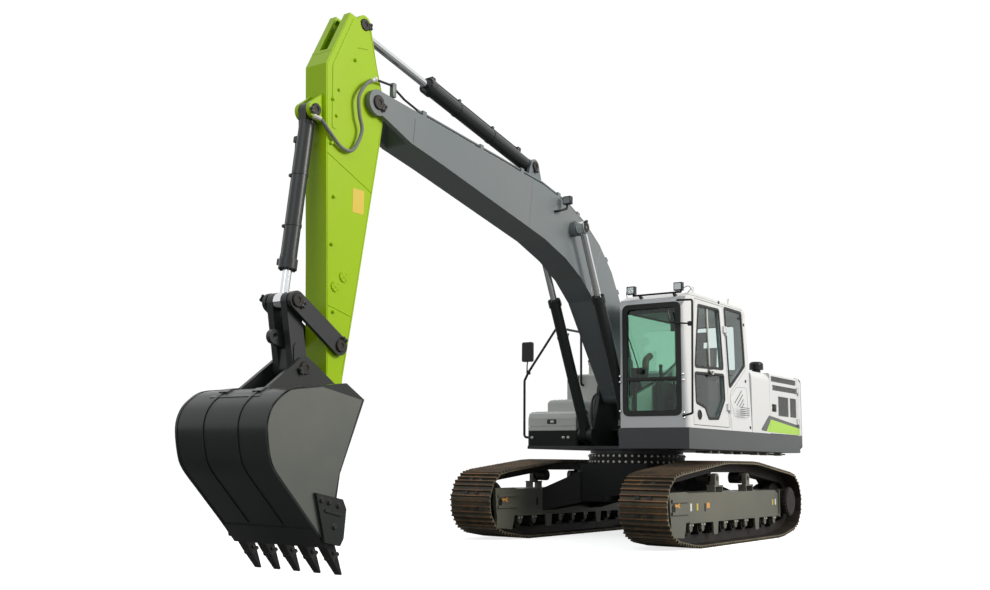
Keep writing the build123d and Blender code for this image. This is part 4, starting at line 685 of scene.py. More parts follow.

# %% [markdown]
# ## Slits, seams, plugs and eyes of the cab
# Four slanted slits let air into the cab's rear corner, with a few short louvres below. The
# shade on each slit's floor is painted: a thin dark strip lies in each. Pressed panels meet in dark seams
# about 3 mm wide, which are thin raised strips here. Chrome screws hold the pillar covers.

# %% Cab trim
SLITS = [(-0.409, 1.927, 0.310), (-0.446, 1.880, 0.275), (-0.463, 1.820, 0.190), (-0.470, 1.765, 0.110)]
SLIT_SLOPE = -34.4
# Each slit's floor gets a thin dark strip of painted shade.
strips = []
for x, z, length in SLITS:
    strip = cushion_block("slit", (0.002, -0.002, -0.007), (length - 0.002, 0.002, 0.007), 0.001, 1)
    strip.data.transform(LEAN @ at(x, CAB_SIDE - 0.004, z) @ turn(-SLIT_SLOPE, "Y"))
    strips.append(strip)
louvre = cushion_block("louvre", (-0.50, CAB_SIDE - 0.001, -0.004),
                       (-0.19, CAB_SIDE + 0.002, 0.004), 0.001, 1)
louvre.data.transform(LEAN)
strips.append(copies(louvre, [at(0, 0, 1.70 - 0.024 * step) for step in range(5)]))
finish_piece(strips, "cab_slit_shade_and_louvres", cab_plastic, "upper")


def seam(points, place, width=0.003, proud=0.0012, closed=False):
    """Thin dark strip along a line drawn in a plane."""
    pieces = []
    for a, b in zip(points, points[1:] + points[:1] if closed else points[1:]):
        a, b = Vector(a), Vector(b)
        run = (b - a).normalized() * width / 2
        side = Vector((-run.y, run.x))
        corners = [a - run - side, b + run - side, b + run + side, a - run + side]
        pieces.append(sheet("seam", [[tuple(c) for c in corners]], 2 * proud, 0.0003, place))
    return gather("seams", pieces)


side_plane = LEAN @ at(0, CAB_SIDE, 0) @ SIDE
CORNER_PANEL = [(-0.238, 1.966), (-0.588, 1.980), (-0.596, 1.582), (-0.140, 1.581), (-0.006, 1.819)]
cab_seams = [seam(rounded(CORNER_PANEL, 0.03, steps=3), side_plane, closed=True)]
for line in ([(0.020, 1.44), (-0.030, 1.885), (-0.580, 2.215), (-0.585, 3.000)],
             [(1.200, 3.015), (0.90, 3.022), (-0.58, 3.022)], [(-0.020, 1.400), (-0.020, 1.560)]):
    cab_seams.append(seam(line, side_plane))
finish_piece(cab_seams, "cab_seams", black_rubber, "upper")

plug = turned("plug", [(0.020, 0.0), (0.020, 0.006), (0.014, 0.010)], turn(-90, "X"), 20)
PLUGS = [(-0.560, 2.065), (-0.640, 1.455), (-0.600, 2.83), (0.20, 3.035), (-0.45, 2.90)]
plugs = copies(plug, [LEAN @ at(x, CAB_SIDE, z) for x, z in PLUGS])
finish_piece(plugs, "cab_plugs", black_rubber, "upper")

screw = turned("screw", [(0.016, 0.0), (0.016, 0.010), (0.012, 0.016), (0.006, 0.017)], turn(90, "Y"), 16)
SCREWS = [(0.447, 2.03), (0.447, 1.96), (0.447, 1.60), (1.292, 2.03), (1.294, 1.96), (1.298, 1.57),
          (1.298, 1.51)]
screws = copies(screw, [at(CAB_NOSE, y, z) for y, z in SCREWS])
finish_piece(screws, "cab_pillar_screws", hard_chrome, "upper")


def lifting_ring(place):
    """Steel eye on a turned foot."""
    foot = turned("foot", [(0.020, 0.0), (0.020, 0.012), (0.012, 0.018), (0.010, 0.040)], place, 16)
    circle = [(0.026 * math.cos(a), 0.0, 0.062 + 0.026 * math.sin(a))
              for a in (math.radians(-60 + 30 * step) for step in range(10))]
    ring = swept("ring", circle, 0.006, 2)
    ring.data.transform(place)
    return gather("lifting_ring", [foot, ring])


rings = [lifting_ring(at(x, 1.255, 3.055)) for x in (0.880, -0.233)]
finish_piece(rings, "roof_lifting_rings", zinc_steel, "upper")
print("cab trim: slits, seams,", len(PLUGS), "plugs,", len(SCREWS), "screws,", len(rings), "rings")

# %% [markdown]
# ## Grilles and side stripe of the engine bay
# The cooler door breathes through two long rows of louvres and two mesh panels. Each sits in a
# recess of the door: a dark back plate, tilted slats at an even pitch, and upright ribs that stiffen
# them. One slat and one rib are made for each opening and copied.

# %% Grilles
BODY_SIDE = 1.360
RECESS = 0.026
GRILLES = [(-2.440, -1.440, 2.125, 2.200), (-2.460, -1.490, 2.005, 2.080),
           (-2.115, -1.705, 1.654, 1.930), (-2.440, -2.180, 1.654, 1.930)]
SLAT_PITCH, RIB_PITCH = 0.0125, 0.052
slats, backs = [], []
floor_y = BODY_SIDE - RECESS
for x_low, x_high, z_low, z_high in GRILLES:
    backs.append(cushion_block("back", (x_low + 0.001, floor_y + 0.0005, z_low + 0.001),
                               (x_high - 0.001, floor_y + 0.004, z_high - 0.001), 0.001, 1))
    slat = cushion_block("slat", (x_low + 0.002, -0.007, -0.0016), (x_high - 0.002, 0.007, 0.0016),
                         0.0006, 1)
    slat.data.transform(turn(38, "X"))
    slat_heights = [z_low + (index + 0.5) * SLAT_PITCH
                    for index in range(int((z_high - z_low) / SLAT_PITCH))]
    slats.append(copies(slat, [at(0, floor_y + 0.014, z) for z in slat_heights]))
    rib = cushion_block("rib", (-0.003, floor_y + 0.003, z_low + 0.002),
                        (0.003, floor_y + 0.023, z_high - 0.002), 0.001, 1)
    ribs = int((x_high - x_low) / RIB_PITCH)
    slats.append(copies(rib, [at(x_low + (index + 0.5) * (x_high - x_low) / ribs, 0, 0)
                              for index in range(ribs)]))
grille_grey = moulded("grey_painted_grille", "#8E9293", 0.5, "#7A7D7C", 0.004, 0.0001)
finish_piece(slats, "cooler_grille_slats", grille_grey, "cooler_door")
finish_piece(backs, "cooler_grille_backs", cab_plastic, "cooler_door")
print("grilles:", len(GRILLES))

# %% [markdown]
# ## Side stripe
# A lime stripe with a dark upper edge runs along the foot of the body and widens to the tail. It is
# film of a fraction of a millimetre, laid over the fixed panel, the cooler door and the tail. So each
# colour is one thin sheet that is cut at the door's gaps, and each length moves with its own body.

# %% Side stripe
STRIPE_DARK = rounded([(-1.009, 1.434), (-1.334, 1.647), (-2.76, 1.525), (-2.76, 1.484),
                       (-1.404, 1.594), (-1.225, 1.424)], 0.02, steps=3)
STRIPE_LIME = rounded([(-1.225, 1.424), (-1.404, 1.594), (-2.76, 1.484), (-2.76, 1.404),
                       (-1.3, 1.418)], 0.012, steps=2)
STRIPE_LENGTHS = {"front": (-1.3785, -0.9, "upper"), "door": (-2.487, -1.3865, "cooler_door"),
                  "rear": (-2.643, -2.497, "upper")}


def length_of(piece, x_low, x_high):
    """Copy of a piece, cut off at two planes across X."""
    twin = duplicate(piece)
    bpy.ops.object.mode_set(mode="EDIT")
    for x, below, above in ((x_low, True, False), (x_high, False, True)):
        bpy.ops.mesh.select_all(action="SELECT")
        bpy.ops.mesh.bisect(plane_co=(x, 0, 0), plane_no=(1, 0, 0), use_fill=True,
                            clear_inner=below, clear_outer=above)
    bpy.ops.object.mode_set(mode="OBJECT")
    return twin


stripe_film = enamel("lime_vinyl_film", "#A9DB1E", "#B5CF4A", 0.3, 0.15)
dark_film = enamel("slate_vinyl_film", "#474B4C", "#55585A", 0.35, 0.2)
for colour, outline, film, slot in (("lime", STRIPE_LIME, stripe_film, "lime_paint"),
                                    ("dark", STRIPE_DARK, dark_film, "dark_grey")):
    whole = sheet(colour, [outline], 0.0016, 0.0002, at(0, BODY_SIDE + 0.0002, 0) @ SIDE)
    for part, (x_low, x_high, body) in STRIPE_LENGTHS.items():
        finish_piece(length_of(whole, x_low, x_high), f"stripe_{colour}_{part}", film, body)
    bpy.data.objects.remove(whole)
CHEEK = [(-2.5575, 1.402), (-2.643, 1.402), (-2.643, 2.175), (-2.5575, 2.215)]
cheek = sheet("cheek", [rounded(CHEEK, 0.01)], 0.003, 0.001, at(0, BODY_SIDE - 0.0003, 0) @ SIDE)
finish_piece(cheek, "tail_cheek", white_enamel, "upper")
print("stripe: two colours in", len(STRIPE_LENGTHS), "lengths")

# %% [markdown]
# ## Latches
# Both engine-bay doors close with a black slam latch: a cup let into the door, a paddle and a
# key lock. It is made for the left door, and mirrored for the right.

# %% Latches
def slam_latch():
    """Cup with a sunk face, and the paddle in it."""
    cup = cushion_block("cup", (-1.632, floor_y + 0.0005, 1.706),
                        (-1.456, BODY_SIDE - 0.010, 1.809), 0.004)
    pick(cup)
    bpy.ops.object.mode_set(mode="EDIT")
    bpy.ops.mesh.select_all(action="DESELECT")
    net = bmesh.from_edit_mesh(cup.data)
    for face in net.faces:
        face.select_set(face.normal.y > 0.9)
    bmesh.update_edit_mesh(cup.data)
    bpy.ops.mesh.inset(thickness=0.012)
    bpy.ops.mesh.extrude_region_move(TRANSFORM_OT_translate={"value": (0, -0.008, 0)})
    bpy.ops.object.mode_set(mode="OBJECT")
    paddle = cushion_block("paddle", (-1.610, BODY_SIDE - 0.018, 1.722),
                           (-1.530, BODY_SIDE - 0.004, 1.792), 0.005)
    return gather("latch", [cup, paddle])


def key_lock():
    rings = [(0.014, 0.0), (0.014, 0.008), (0.010, 0.010), (0.004, 0.010), (0.004, 0.006)]
    return turned("lock", rings, at(-1.492, BODY_SIDE - 0.019, 1.757) @ turn(-90, "X"), 16)


MIRROR_Y = Matrix.Scale(-1, 4, (0, 1, 0))
for body, place in (("cooler_door", None), ("pump_door", MIRROR_Y)):
    finish_piece(slam_latch(), f"{body}_latch", cab_plastic, body, place)
    finish_piece(key_lock(), f"{body}_lock", hard_chrome, body, place)
grips = [tube("grip", [(-2.10, y, 2.2425), (-2.10, y, 2.285), (-1.95, y, 2.285), (-1.95, y, 2.2425)],
              0.008, 0.02) for y in (-0.44, 0.54)]
finish_piece(grips, "hood_grips", black_rail_paint, "engine_hood")
print("latches: 2, hood grips:", len(grips))

# %% [markdown]
# ## Right side: toolbox, tank and steps
# The silver toolbox lid has pressed beads and a black latch with a bright tongue. The fuel filler has
# a black cap, the step box carries rows of anti-slip studs, and three pipe fittings stand out of the
# black plate below the toolbox. One stud and one fitting are turned and copied.

# %% Right side fittings
lid_low, lid_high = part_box("toolbox_lid")
lid_front, lid_y = lid_high[0], middle_y("toolbox_lid")
latch_cup = plate("cup", (lid_y - 0.075, lid_y + 0.075, 1.484, 1.548), 0.012, 0.006, 0.002,
                  at(lid_front + 0.001, 0, 0) @ FRONT)
finish_piece(latch_cup, "toolbox_latch_cup", cab_plastic, "toolbox_lid")
tongue = cushion_block("tongue", (lid_front + 0.002, lid_y - 0.02, 1.498),
                       (lid_front + 0.009, lid_y + 0.035, 1.530), 0.004)
finish_piece(tongue, "toolbox_latch_tongue", zinc_steel, "toolbox_lid")
LID_TOP, LID_BEAD, FRONT_BEAD = 1.6555, 0.09, 1.548
beads = []
for y in (lid_low[1] + 0.15, lid_high[1] - 0.15):
    left, right = y - LID_BEAD, y + LID_BEAD
    loop = [(0.30, left, LID_TOP), (0.49, left, LID_TOP), (0.5, left, LID_TOP),
            (0.5, right, LID_TOP), (0.49, right, LID_TOP), (0.30, right, LID_TOP)]
    beads.append(tube("bead", loop, 0.0035, 0.03, 1))
for edge, side in ((lid_low[1] + 0.05, -1), (lid_high[1] - 0.05, 1)):
    beads.append(tube("bead", [(lid_front + 0.0005, edge, FRONT_BEAD),
                               (lid_front + 0.0005, lid_y + side * 0.10, FRONT_BEAD),
                               (lid_front + 0.0005, lid_y + side * 0.12, FRONT_BEAD - 0.05)],
                      0.003, 0.02, 1))
finish_piece(beads, "toolbox_lid_beads", silver_enamel, "toolbox_lid")

FILLER = (-0.560, -1.000)
CAP_RINGS = [(0.066, 0.0), (0.068, 0.004), (0.068, 0.022), (0.060, 0.028), (0.052, 0.028),
             (0.048, 0.034), (0.020, 0.036)]
cap = turned("cap", CAP_RINGS, at(*FILLER, 2.4255), 24)
finish_piece(cap, "fuel_cap", black_rubber, "upper")
stud = turned("stud", [(0.012, 0.0), (0.010, 0.004), (0.006, 0.004), (0.006, 0.002)], sides=12)
step_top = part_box("step_box")[1][2]
studs = [at(-0.33 + 0.055 * i, -1.26 + 0.06 * j, step_top - 0.0002)
         for i in range(8) for j in range(7)]
finish_piece(copies(stud, studs), "step_box_studs", zinc_steel, "upper")
black_front = plate("front", (-1.345, -0.602, 1.152, 1.392), 0.01, 0.003, 0.001,
                    at(lid_front + 0.0003, 0, 0) @ FRONT)
finish_piece(black_front, "right_skirt_front", black_enamel, "upper")
FITTING_RINGS = [(0.020, 0.0), (0.020, 0.014), (0.012, 0.018), (0.012, 0.034), (0.006, 0.036)]
fitting = turned("fitting", FITTING_RINGS, sides=12)
fittings = [at(lid_front + 0.001, y, 1.300) @ turn(90, "Y") for y in (-0.790, -0.712, -1.290)]
finish_piece(copies(fitting, fittings), "right_skirt_fittings", zinc_steel, "upper")
print("right side: latch, beads, cap,", len(studs), "studs,", len(fittings), "fittings")

# %% [markdown]
# ## Tracks
# A track's shoes are rolled plates with three grousers. Only the grousers' crests touch hard ground,
# so they are scoured to brown, bright steel, while soil stays in between. The solid has the
# right form, so a copy of it takes its place: its doubled points are merged, and the narrow faces
# on the crests, told by their area, get the scoured finish. Dry soil sticks to the shoes' ends. The
# faces turned into the loop and the sideways faces between the ends get the dark chain steel as painted
# shade.

# %% Tracks
scoured_steel = worn_steel("scoured_grouser_steel", "#5E4634", "#94683F", "#C7A277", 0.8)
sandy_steel = worn_steel("dried_soil_on_steel", "#6A6353", "#877C66", "#A89C82", 0.5)
SHOE_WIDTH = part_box("track_left")[1][1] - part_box("track_left")[0][1]
CREST = 0.013
CREST_AREA = 0.6 * SHOE_WIDTH * CREST     # half a crest's face, and a little more
# The fourth finish, the dark chain steel, is painted shade on the faces inside the track.
SCOURED, SANDY, SHADED_INSIDE = 1, 2, 3


def dressed_track(name):
    """Copy of a track with merged points, each face finished by its place. Returns the crests too."""
    piece = duplicate(nodes[name])
    loosen(piece)
    bpy.ops.object.mode_set(mode="EDIT")
    bpy.ops.mesh.select_all(action="SELECT")
    bpy.ops.mesh.remove_doubles(threshold=0.00005)
    bpy.ops.object.mode_set(mode="OBJECT")
    piece.name = f"{name}_shoes"
    piece.data.materials.clear()
    for material in (shoe_steel, scoured_steel, sandy_steel, chain_steel):
        piece.data.materials.append(material)
    middle = middle_y(name)
    crests = []
    for face in piece.data.polygons:
        face.use_smooth = False
        across = [piece.data.vertices[v].co.y for v in face.vertices]
        level = abs(face.normal.y) < 0.1
        if max(across) - min(across) > 0.9 * SHOE_WIDTH and level and face.area < CREST_AREA:
            face.material_index = SCOURED
            crests.append((face.center.copy(), face.normal.copy()))
    # Painted shade: faces turned into the loop, and sideways faces away from the shoes' ends, get the dark
    # chain steel.
    for face in piece.data.polygons:
        out = min(crests, key=lambda crest: (crest[0] - face.center).length_squared)[1]
        if abs(face.normal.y) > 0.9:
            at_end = abs(face.center.y - middle) > 0.45 * SHOE_WIDTH
            face.material_index = SANDY if at_end else SHADED_INSIDE
        elif face.normal.dot(out) < -0.5:
            face.material_index = SHADED_INSIDE
    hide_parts(name)
    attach(piece, "base")
    return piece, crests


crests = {}
for name in ("track_left", "track_right"):
    piece, faces = dressed_track(name)
    crests[name] = faces
    print(name, "crest faces", len(faces), "triangles", len(piece.data.polygons))

# %% [markdown]
# ## Shoe slots
# Each shoe has two slots that let mud out. A shoe has three crests, so every third crest gives a
# place and a direction, and one slot, drawn as a thin dark plate of painted shade, is copied round the
# track.

# %% Shoe slots
def shoe_frames(name):
    """Frame of each crest: X along the track, Y across, Z outwards."""
    middle = middle_y(name)
    frames, seen = [], []
    for centre, out in crests[name]:
        place = Vector((centre.x, middle, centre.z))
        if any((place - other).length < 0.02 for other in seen):
            continue
        seen.append(place)
        axes = Matrix((Vector((0, 1, 0)).cross(out).normalized(), Vector((0, 1, 0)), out))
        frames.append(Matrix.Translation(place) @ axes.transposed().to_4x4())
    return frames


# A thin dark plate stands for each slot's hole: painted shade.
slot_shade_plate = plate("slot", (-0.020, 0.020, -0.030, 0.030), 0.012, 0.002, 0.0005, steps=2)
for name in ("track_left", "track_right"):
    frames = shoe_frames(name)
    places = [crest @ at(0.028, y, -0.011) for crest in frames[::3] for y in (-0.075, 0.075)]
    slots = copies(duplicate(slot_shade_plate), places)
    finish_piece(slots, f"{name}_slots", black_rubber, "base")
    print(name, "crests", len(frames), "slots", len(places))
bpy.data.objects.remove(slot_shade_plate)

# %% [markdown]
# ## Track frame fittings
# The beam's side has a slot with round ends for the adjuster, five blank plates, an arrow at the
# idler and the disc of the idler's axle. Bolts hold the rollers and the swing bearing. Rows of
# bright bolt heads are copied from one hexagon bolt.

# %% Track frame fittings
def label_enamel(name, colour):
    return enamel(name, colour, "#BFB69A", 0.4, 0.3)


white_label = label_enamel("white_label_film", "#E9E9E2")
yellow_label = label_enamel("yellow_label_film", "#E3C52C")
orange_label = label_enamel("orange_label_film", "#F2A21F")
FRAME_SIDE, FRAME_INSIDE = 1.390, 0.990
# finish, x, z, width, height
LABELS = [(white_label, 1.322, 0.468, 0.046, 0.088), (yellow_label, 1.145, 0.468, 0.042, 0.080),
          (orange_label, 0.835, 0.480, 0.086, 0.062), (yellow_label, -1.300, 0.470, 0.040, 0.075),
          (white_label, -1.400, 0.472, 0.044, 0.080)]
for index, (film, x, z, wide, high) in enumerate(LABELS):
    box = (x - wide / 2, x + wide / 2, z - high / 2, z + high / 2)
    for side, y in (("left", FRAME_SIDE + 0.0004), ("right", -FRAME_SIDE - 0.0004)):
        label = plate("label", box, 0.004, 0.0016, 0.0003, at(0, y, 0) @ SIDE, 2)
        finish_piece(label, f"frame_plate_{side}_{index}", film, "base")
# Each adjuster slot is a flat dark plate: painted shade in the opening.
adjuster = plate("slot", (0.908, 0.950, 0.408, 0.508), 0.020, 0.004)
adjuster_cuts = copies(adjuster, [at(0, y, 0) @ SIDE
                                  for y in (FRAME_SIDE, -FRAME_SIDE, FRAME_INSIDE, -FRAME_INSIDE)])
finish_piece(adjuster_cuts, "frame_adjuster_slot_shade", black_rubber, "base")
# The arrow: how far each corner lies behind the tip at x 1.755, and its height.
ARROW = [(0.000, 0.495), (0.032, 0.520), (0.032, 0.506), (0.055, 0.506), (0.075, 0.522), (0.100, 0.522),
         (0.078, 0.495), (0.100, 0.468), (0.075, 0.468), (0.055, 0.484), (0.032, 0.484), (0.032, 0.470)]
arrow = sheet("arrow", [[(1.755 - 1.45 * back, z) for back, z in ARROW]], 0.0016, 0.0002)
arrows = copies(arrow, [at(0, y, 0) @ SIDE for y in (FRAME_SIDE + 0.0005, -0.9895)])
finish_piece(arrows, "idler_arrows", orange_label, "base")
axle_rings = [(0.040, 0.0), (0.040, 0.006), (0.030, 0.008), (0.026, 0.003)]
axle_places = [at(1.788, y, 0.457) @ turn(angle, "X")
               for y, angle in ((FRAME_SIDE, -90), (FRAME_INSIDE, 90), (-FRAME_SIDE, 90),
                                (-FRAME_INSIDE, -90))]
discs = copies(turned("axle", axle_rings, sides=24), axle_places)
finish_piece(discs, "idler_axle_ends", chain_steel, "base")

ROLLERS, ROLLER_PITCH = 9, 0.333
FLANGES = [(1.392, -90), (0.988, 90), (-1.392, 90), (-0.988, -90)]     # y and turn of each face
places = []
for index in range(ROLLERS):
    for step in (-0.034, 0.034):
        x = (index - 4) * ROLLER_PITCH + step
        places += [at(x, y, 0.262) @ turn(angle, "X") for y, angle in FLANGES]
finish_piece(copies(bolt(0.012, 0.012), places), "roller_bolts", zinc_steel, "base")

RING_BOLTS = 48
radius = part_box("swing_bearing")[1][0]
places = [at(0, 0, z) @ turn(360 * index / RING_BOLTS, "Z") @ at(radius, 0, 0) @ turn(90, "Y")
          for z in (0.985, 1.062) for index in range(RING_BOLTS)]
finish_piece(copies(bolt(0.012, 0.014), places), "bearing_bolts", zinc_steel, "base")
print("track frame:", 2 * len(LABELS), "plates,", len(places), "bearing bolts, slots, arrows, discs")

# %% [markdown]
# ## Pins of the boom and the arm
# Every pin ends in a dark flange, and a keeper plate with two bolts stops it from turning. One
# pin end is turned, and copied to both sides of each joint.

# %% Pin ends
def pin_end(radius):
    """Pin flange standing up from the drawing plane."""
    return turned("flange", [(radius, 0.0), (radius, 0.012), (radius * 0.9, 0.018),
                             (radius * 0.42, 0.018), (radius * 0.36, 0.010), (radius * 0.1, 0.010)],
                  sides=32)


def keeper_plate(radius):
    """Plate beside the flange's edge, with its two bolts."""
    keeper = plate("keeper", (-radius * 0.55, radius * 0.55, radius * 0.78, radius * 1.45), 0.012,
                   0.010, 0.002, at(0, 0, 0.018))
    heads = copies(bolt(0.013, 0.012), [at(x, radius * 1.18, 0.022)
                                        for x in (-radius * 0.3, radius * 0.3)])
    return gather("keeper", [keeper, heads])


# x, half width, z, radius, body, turn of the keeper
PINS = [(5.618, 0.190, 4.354, 0.072, "boom", 60), (1.990, 0.368, 3.795, 0.060, "boom_rods", 200),
        (2.700, 0.092, 4.435, 0.056, "boom", 0), (0.468, 0.236, 1.890, 0.070, "upper", 120),
        (0.800, 0.410, 1.340, 0.056, "upper", 30), (6.353, 0.092, 4.093, 0.056, "arm", 290),
        (6.014, 0.176, 1.973, 0.058, "arm", 150), (6.565, 0.176, 2.315, 0.062, "idler_links", 60),
        (6.442, 0.176, 1.741, 0.060, "bucket", 300), (6.045, 0.176, 1.500, 0.060, "bucket", 180),
        (5.783, 0.130, 5.092, 0.060, "arm_rod", 90)]
for index, (x, y, z, radius, body, spin) in enumerate(PINS):
    flanges = copies(pin_end(radius), both_sides(x, y, z))
    finish_piece(flanges, f"pin_ends_{index}", chain_steel, body)
    keepers = copies(keeper_plate(radius), both_sides(x, y, z, spin))
    finish_piece(keepers, f"pin_keepers_{index}", charcoal_enamel, body)
print("pins:", len(PINS))

# %% [markdown]
# ## Arm plates and welds
# The arm is a box of lime plates. A thicker doubler lies along its head, two round plates are bolted
# low on each side, small bosses carry the hose clamps, and a blank yellow plate sits half way up.
# Each weld is a thin round bead under the paint, so it is a thin tube along the seam.

# %% Arm plates
ARM_HALF = 0.130
ARM_FACES = (ARM_HALF, -ARM_HALF)
HEAD_DOUBLER = [(5.700, 5.060), (5.935, 5.120), (6.200, 4.560), (6.180, 3.960), (6.110, 3.960),
                (6.080, 4.480), (5.880, 4.830), (5.720, 4.860)]
doublers = [sheet("doubler", [rounded(HEAD_DOUBLER, 0.04)], 0.012, 0.003, at(0, y, 0) @ SIDE)
            for y in ARM_FACES]
finish_piece(doublers, "arm_head_doublers", lime_enamel, "arm")
PLATE_RINGS = [(0.052, 0.0), (0.052, 0.008), (0.048, 0.011), (0.018, 0.011), (0.014, 0.015),
               (0.004, 0.016)]
plate_places = [p for x, z in ((5.960, 2.613), (6.065, 2.510)) for p in both_sides(x, ARM_HALF, z)]
plates = copies(turned("round_plate", PLATE_RINGS, sides=28), plate_places)
heads = copies(bolt(0.007, 0.006), [p @ turn(angle, "Z") @ at(0.036, 0, 0.010) @ turn(-angle, "Z")
                                    for p in plate_places for angle in (45, 135, 225, 315)])
finish_piece([plates, heads], "arm_side_plates", lime_enamel, "arm")

BOSS_RINGS = [(0.017, 0.0), (0.017, 0.016), (0.013, 0.018), (0.013, 0.024), (0.006, 0.024)]
BOSSES = [(6.110, 4.344), (6.180, 4.235), (6.130, 4.090), (6.185, 3.815), (6.125, 3.328),
          (6.130, 2.887), (6.080, 2.277), (5.900, 4.700)]
bosses = copies(turned("boss", BOSS_RINGS, sides=14),
                [p for x, z in BOSSES for p in both_sides(x, ARM_HALF, z)])
finish_piece(bosses, "arm_bosses", lime_enamel, "arm")
blank = plate("plate", (5.715, 5.870, 3.235, 3.465), 0.008, 0.002, 0.0005,
              at(0, ARM_HALF + 0.0008, 0) @ SIDE, 2)
finish_piece(blank, "arm_blank_plate", yellow_label, "arm")
EDGE = [(6.134, 1.720), (6.189, 2.821), (6.236, 3.643), (6.283, 4.555), (6.000, 5.130)]
BACK = [(5.924, 1.720), (5.805, 2.340), (5.673, 3.084), (5.524, 3.922), (5.486, 4.179),
        (5.495, 4.467), (5.690, 5.060)]
WELDS = [(0.004, [(x - 0.014, z) for x, z in EDGE]), (0.004, [(x + 0.014, z) for x, z in BACK]),
         (0.005, [(6.225, 3.720), (5.610, 3.470)]), (0.005, [(5.840, 2.260), (6.145, 2.330)])]
beads = [tube("weld", [(x, y, z) for x, z in line], radius, 0.02, 1)
         for radius, line in WELDS for y in ARM_FACES]
finish_piece(beads, "arm_welds", lime_enamel, "arm")
print("arm: doublers, plates,", len(BOSSES), "bosses a side,", len(beads), "welds")

# %% [markdown]
# ## Cylinders
# Each cylinder barrel is a drawn tube. At its head a gland is held by a ring of cap screws, and a
# steel pipe runs along the tube from the port at the foot to the port at the head, held by two
# clamps. They are made upright on the barrel's axis, and laid along it.

# %% Cylinders
def along(foot, eye, y=0.0):
    """Frame at a cylinder's foot whose Z runs to the eye and whose X points up or ahead."""
    run = Vector((eye[0] - foot[0], 0, eye[1] - foot[1])).normalized()
    axes = Matrix((Vector((0, 1, 0)).cross(run), Vector((0, 1, 0)), run))
    return Matrix.Translation((foot[0], y, foot[1])) @ axes.transposed().to_4x4()


def cylinder_dress(radius, closed):
    """Gland screws, and the pipe with its clamps and port blocks, of a barrel on its foot pin."""
    screw_head = turned("screw", [(0.009, 0.0), (0.009, 0.010), (0.006, 0.011), (0.005, 0.006)],
                        sides=10)
    screws = [at((radius - 0.004) * math.cos(a), (radius - 0.004) * math.sin(a), closed)
              for a in (math.radians(30 * step + 15) for step in range(12))]
    heads = copies(screw_head, screws)
    reach = radius + 0.024
    pipe = tube("pipe", [(radius + 0.010, 0.0, closed - 0.060), (reach + 0.012, 0.0, closed - 0.085),
                         (reach, 0.0, closed - 0.16), (reach, 0.0, 0.36), (reach + 0.006, 0.0, 0.30)],
                0.014)
    block = cushion_block("port", (-0.030, -0.028, 0.0), (0.030, 0.028, 0.060), 0.006)
    ports = copies(block, [at(radius + 0.022, 0.0, z) for z in (closed - 0.105, 0.235)])
    clamp_heights = (0.40 * closed, 0.72 * closed)
    clamp = cushion_block("clamp", (-0.026, -0.034, 0.0), (0.020, 0.034, 0.030), 0.006)
    clamps = copies(clamp, [at(reach, 0.0, z) for z in clamp_heights])
    circle = [(math.cos(math.radians(10 * step)), math.sin(math.radians(10 * step)))
              for step in range(36)]
    strap = sheet("strap", [[(r * a, r * b) for a, b in circle]
                            for r in (radius + 0.005, radius - 0.002)], 0.028)
    bands = copies(strap, [at(0, 0, z + 0.015) for z in clamp_heights])
    return heads, gather("pipework", [pipe, ports, clamps, bands])


# name, foot, eye, y, radius, closed length, turn to the side its pipe is on, body
BOOM_FOOT, BOOM_EYE = (0.800, 1.340), (1.990, 3.795)
CYLINDERS = [("boom_left", BOOM_FOOT, BOOM_EYE, 0.320, 0.070, 1.850, 180, "boom_barrels"),
             ("boom_right", BOOM_FOOT, BOOM_EYE, -0.320, 0.070, 1.850, 180, "boom_barrels"),
             ("arm", (2.700, 4.435), (5.783, 5.092), 0.0, 0.080, 2.010, 180, "arm_barrel"),
             ("bucket", (6.353, 4.093), (6.565, 2.315), 0.0, 0.070, 1.500, -90, "bucket_barrel")]
for name, foot, eye, y, radius, closed, side, body in CYLINDERS:
    heads, pipework = cylinder_dress(radius, closed)
    place = along(foot, eye, y) @ turn(side, "Z")
    finish_piece(heads, f"{name}_gland_screws", chain_steel, body, place)
    finish_piece(pipework, f"{name}_cylinder_pipe", charcoal_enamel, body, place)
print("cylinders:", len(CYLINDERS))

# %% [markdown]
# ## Bucket
# The bucket's back is rolled plate with two wear strips welded along it, and a doubler with two pads
# where the ears stand. Its side plates catch the dust, and a bolted cutter guards each side. Strips
# follow the back's curve, so each is a band drawn in side view and given its width. A collar with a
# pin holds each tooth on its shank.

# %% Bucket
BUCKET_BACK = [(6.494, 0.262), (6.662, 0.438), (6.922, 0.697), (7.100, 0.880), (7.161, 1.010),
               (7.195, 1.215), (7.160, 1.350), (7.077, 1.443), (6.951, 1.517), (6.743, 1.547),
               (6.600, 1.566)]
BUCKET_SIDE = 0.545
ROLLED = smooth_line(BUCKET_BACK)


def lifted(line, by):
    """The line moved off itself by a distance, to its outer side."""
    moved = []
    for index, point in enumerate(line):
        run = Vector(line[min(index + 1, len(line) - 1)]) - Vector(line[max(index - 1, 0)])
        run.normalize()
        moved.append((point[0] + run.y * by, point[1] - run.x * by))
    return moved


def band(name, line, low, high, thick, lift=0.0):
    """Plate that follows a line in side view, lifted off it, between two y values."""
    rim = lifted(line, lift + thick) + lifted(line, lift)[::-1]
    return sheet(name, [rim], high - low, 0.001, at(0, (low + high) / 2, 0) @ SIDE)


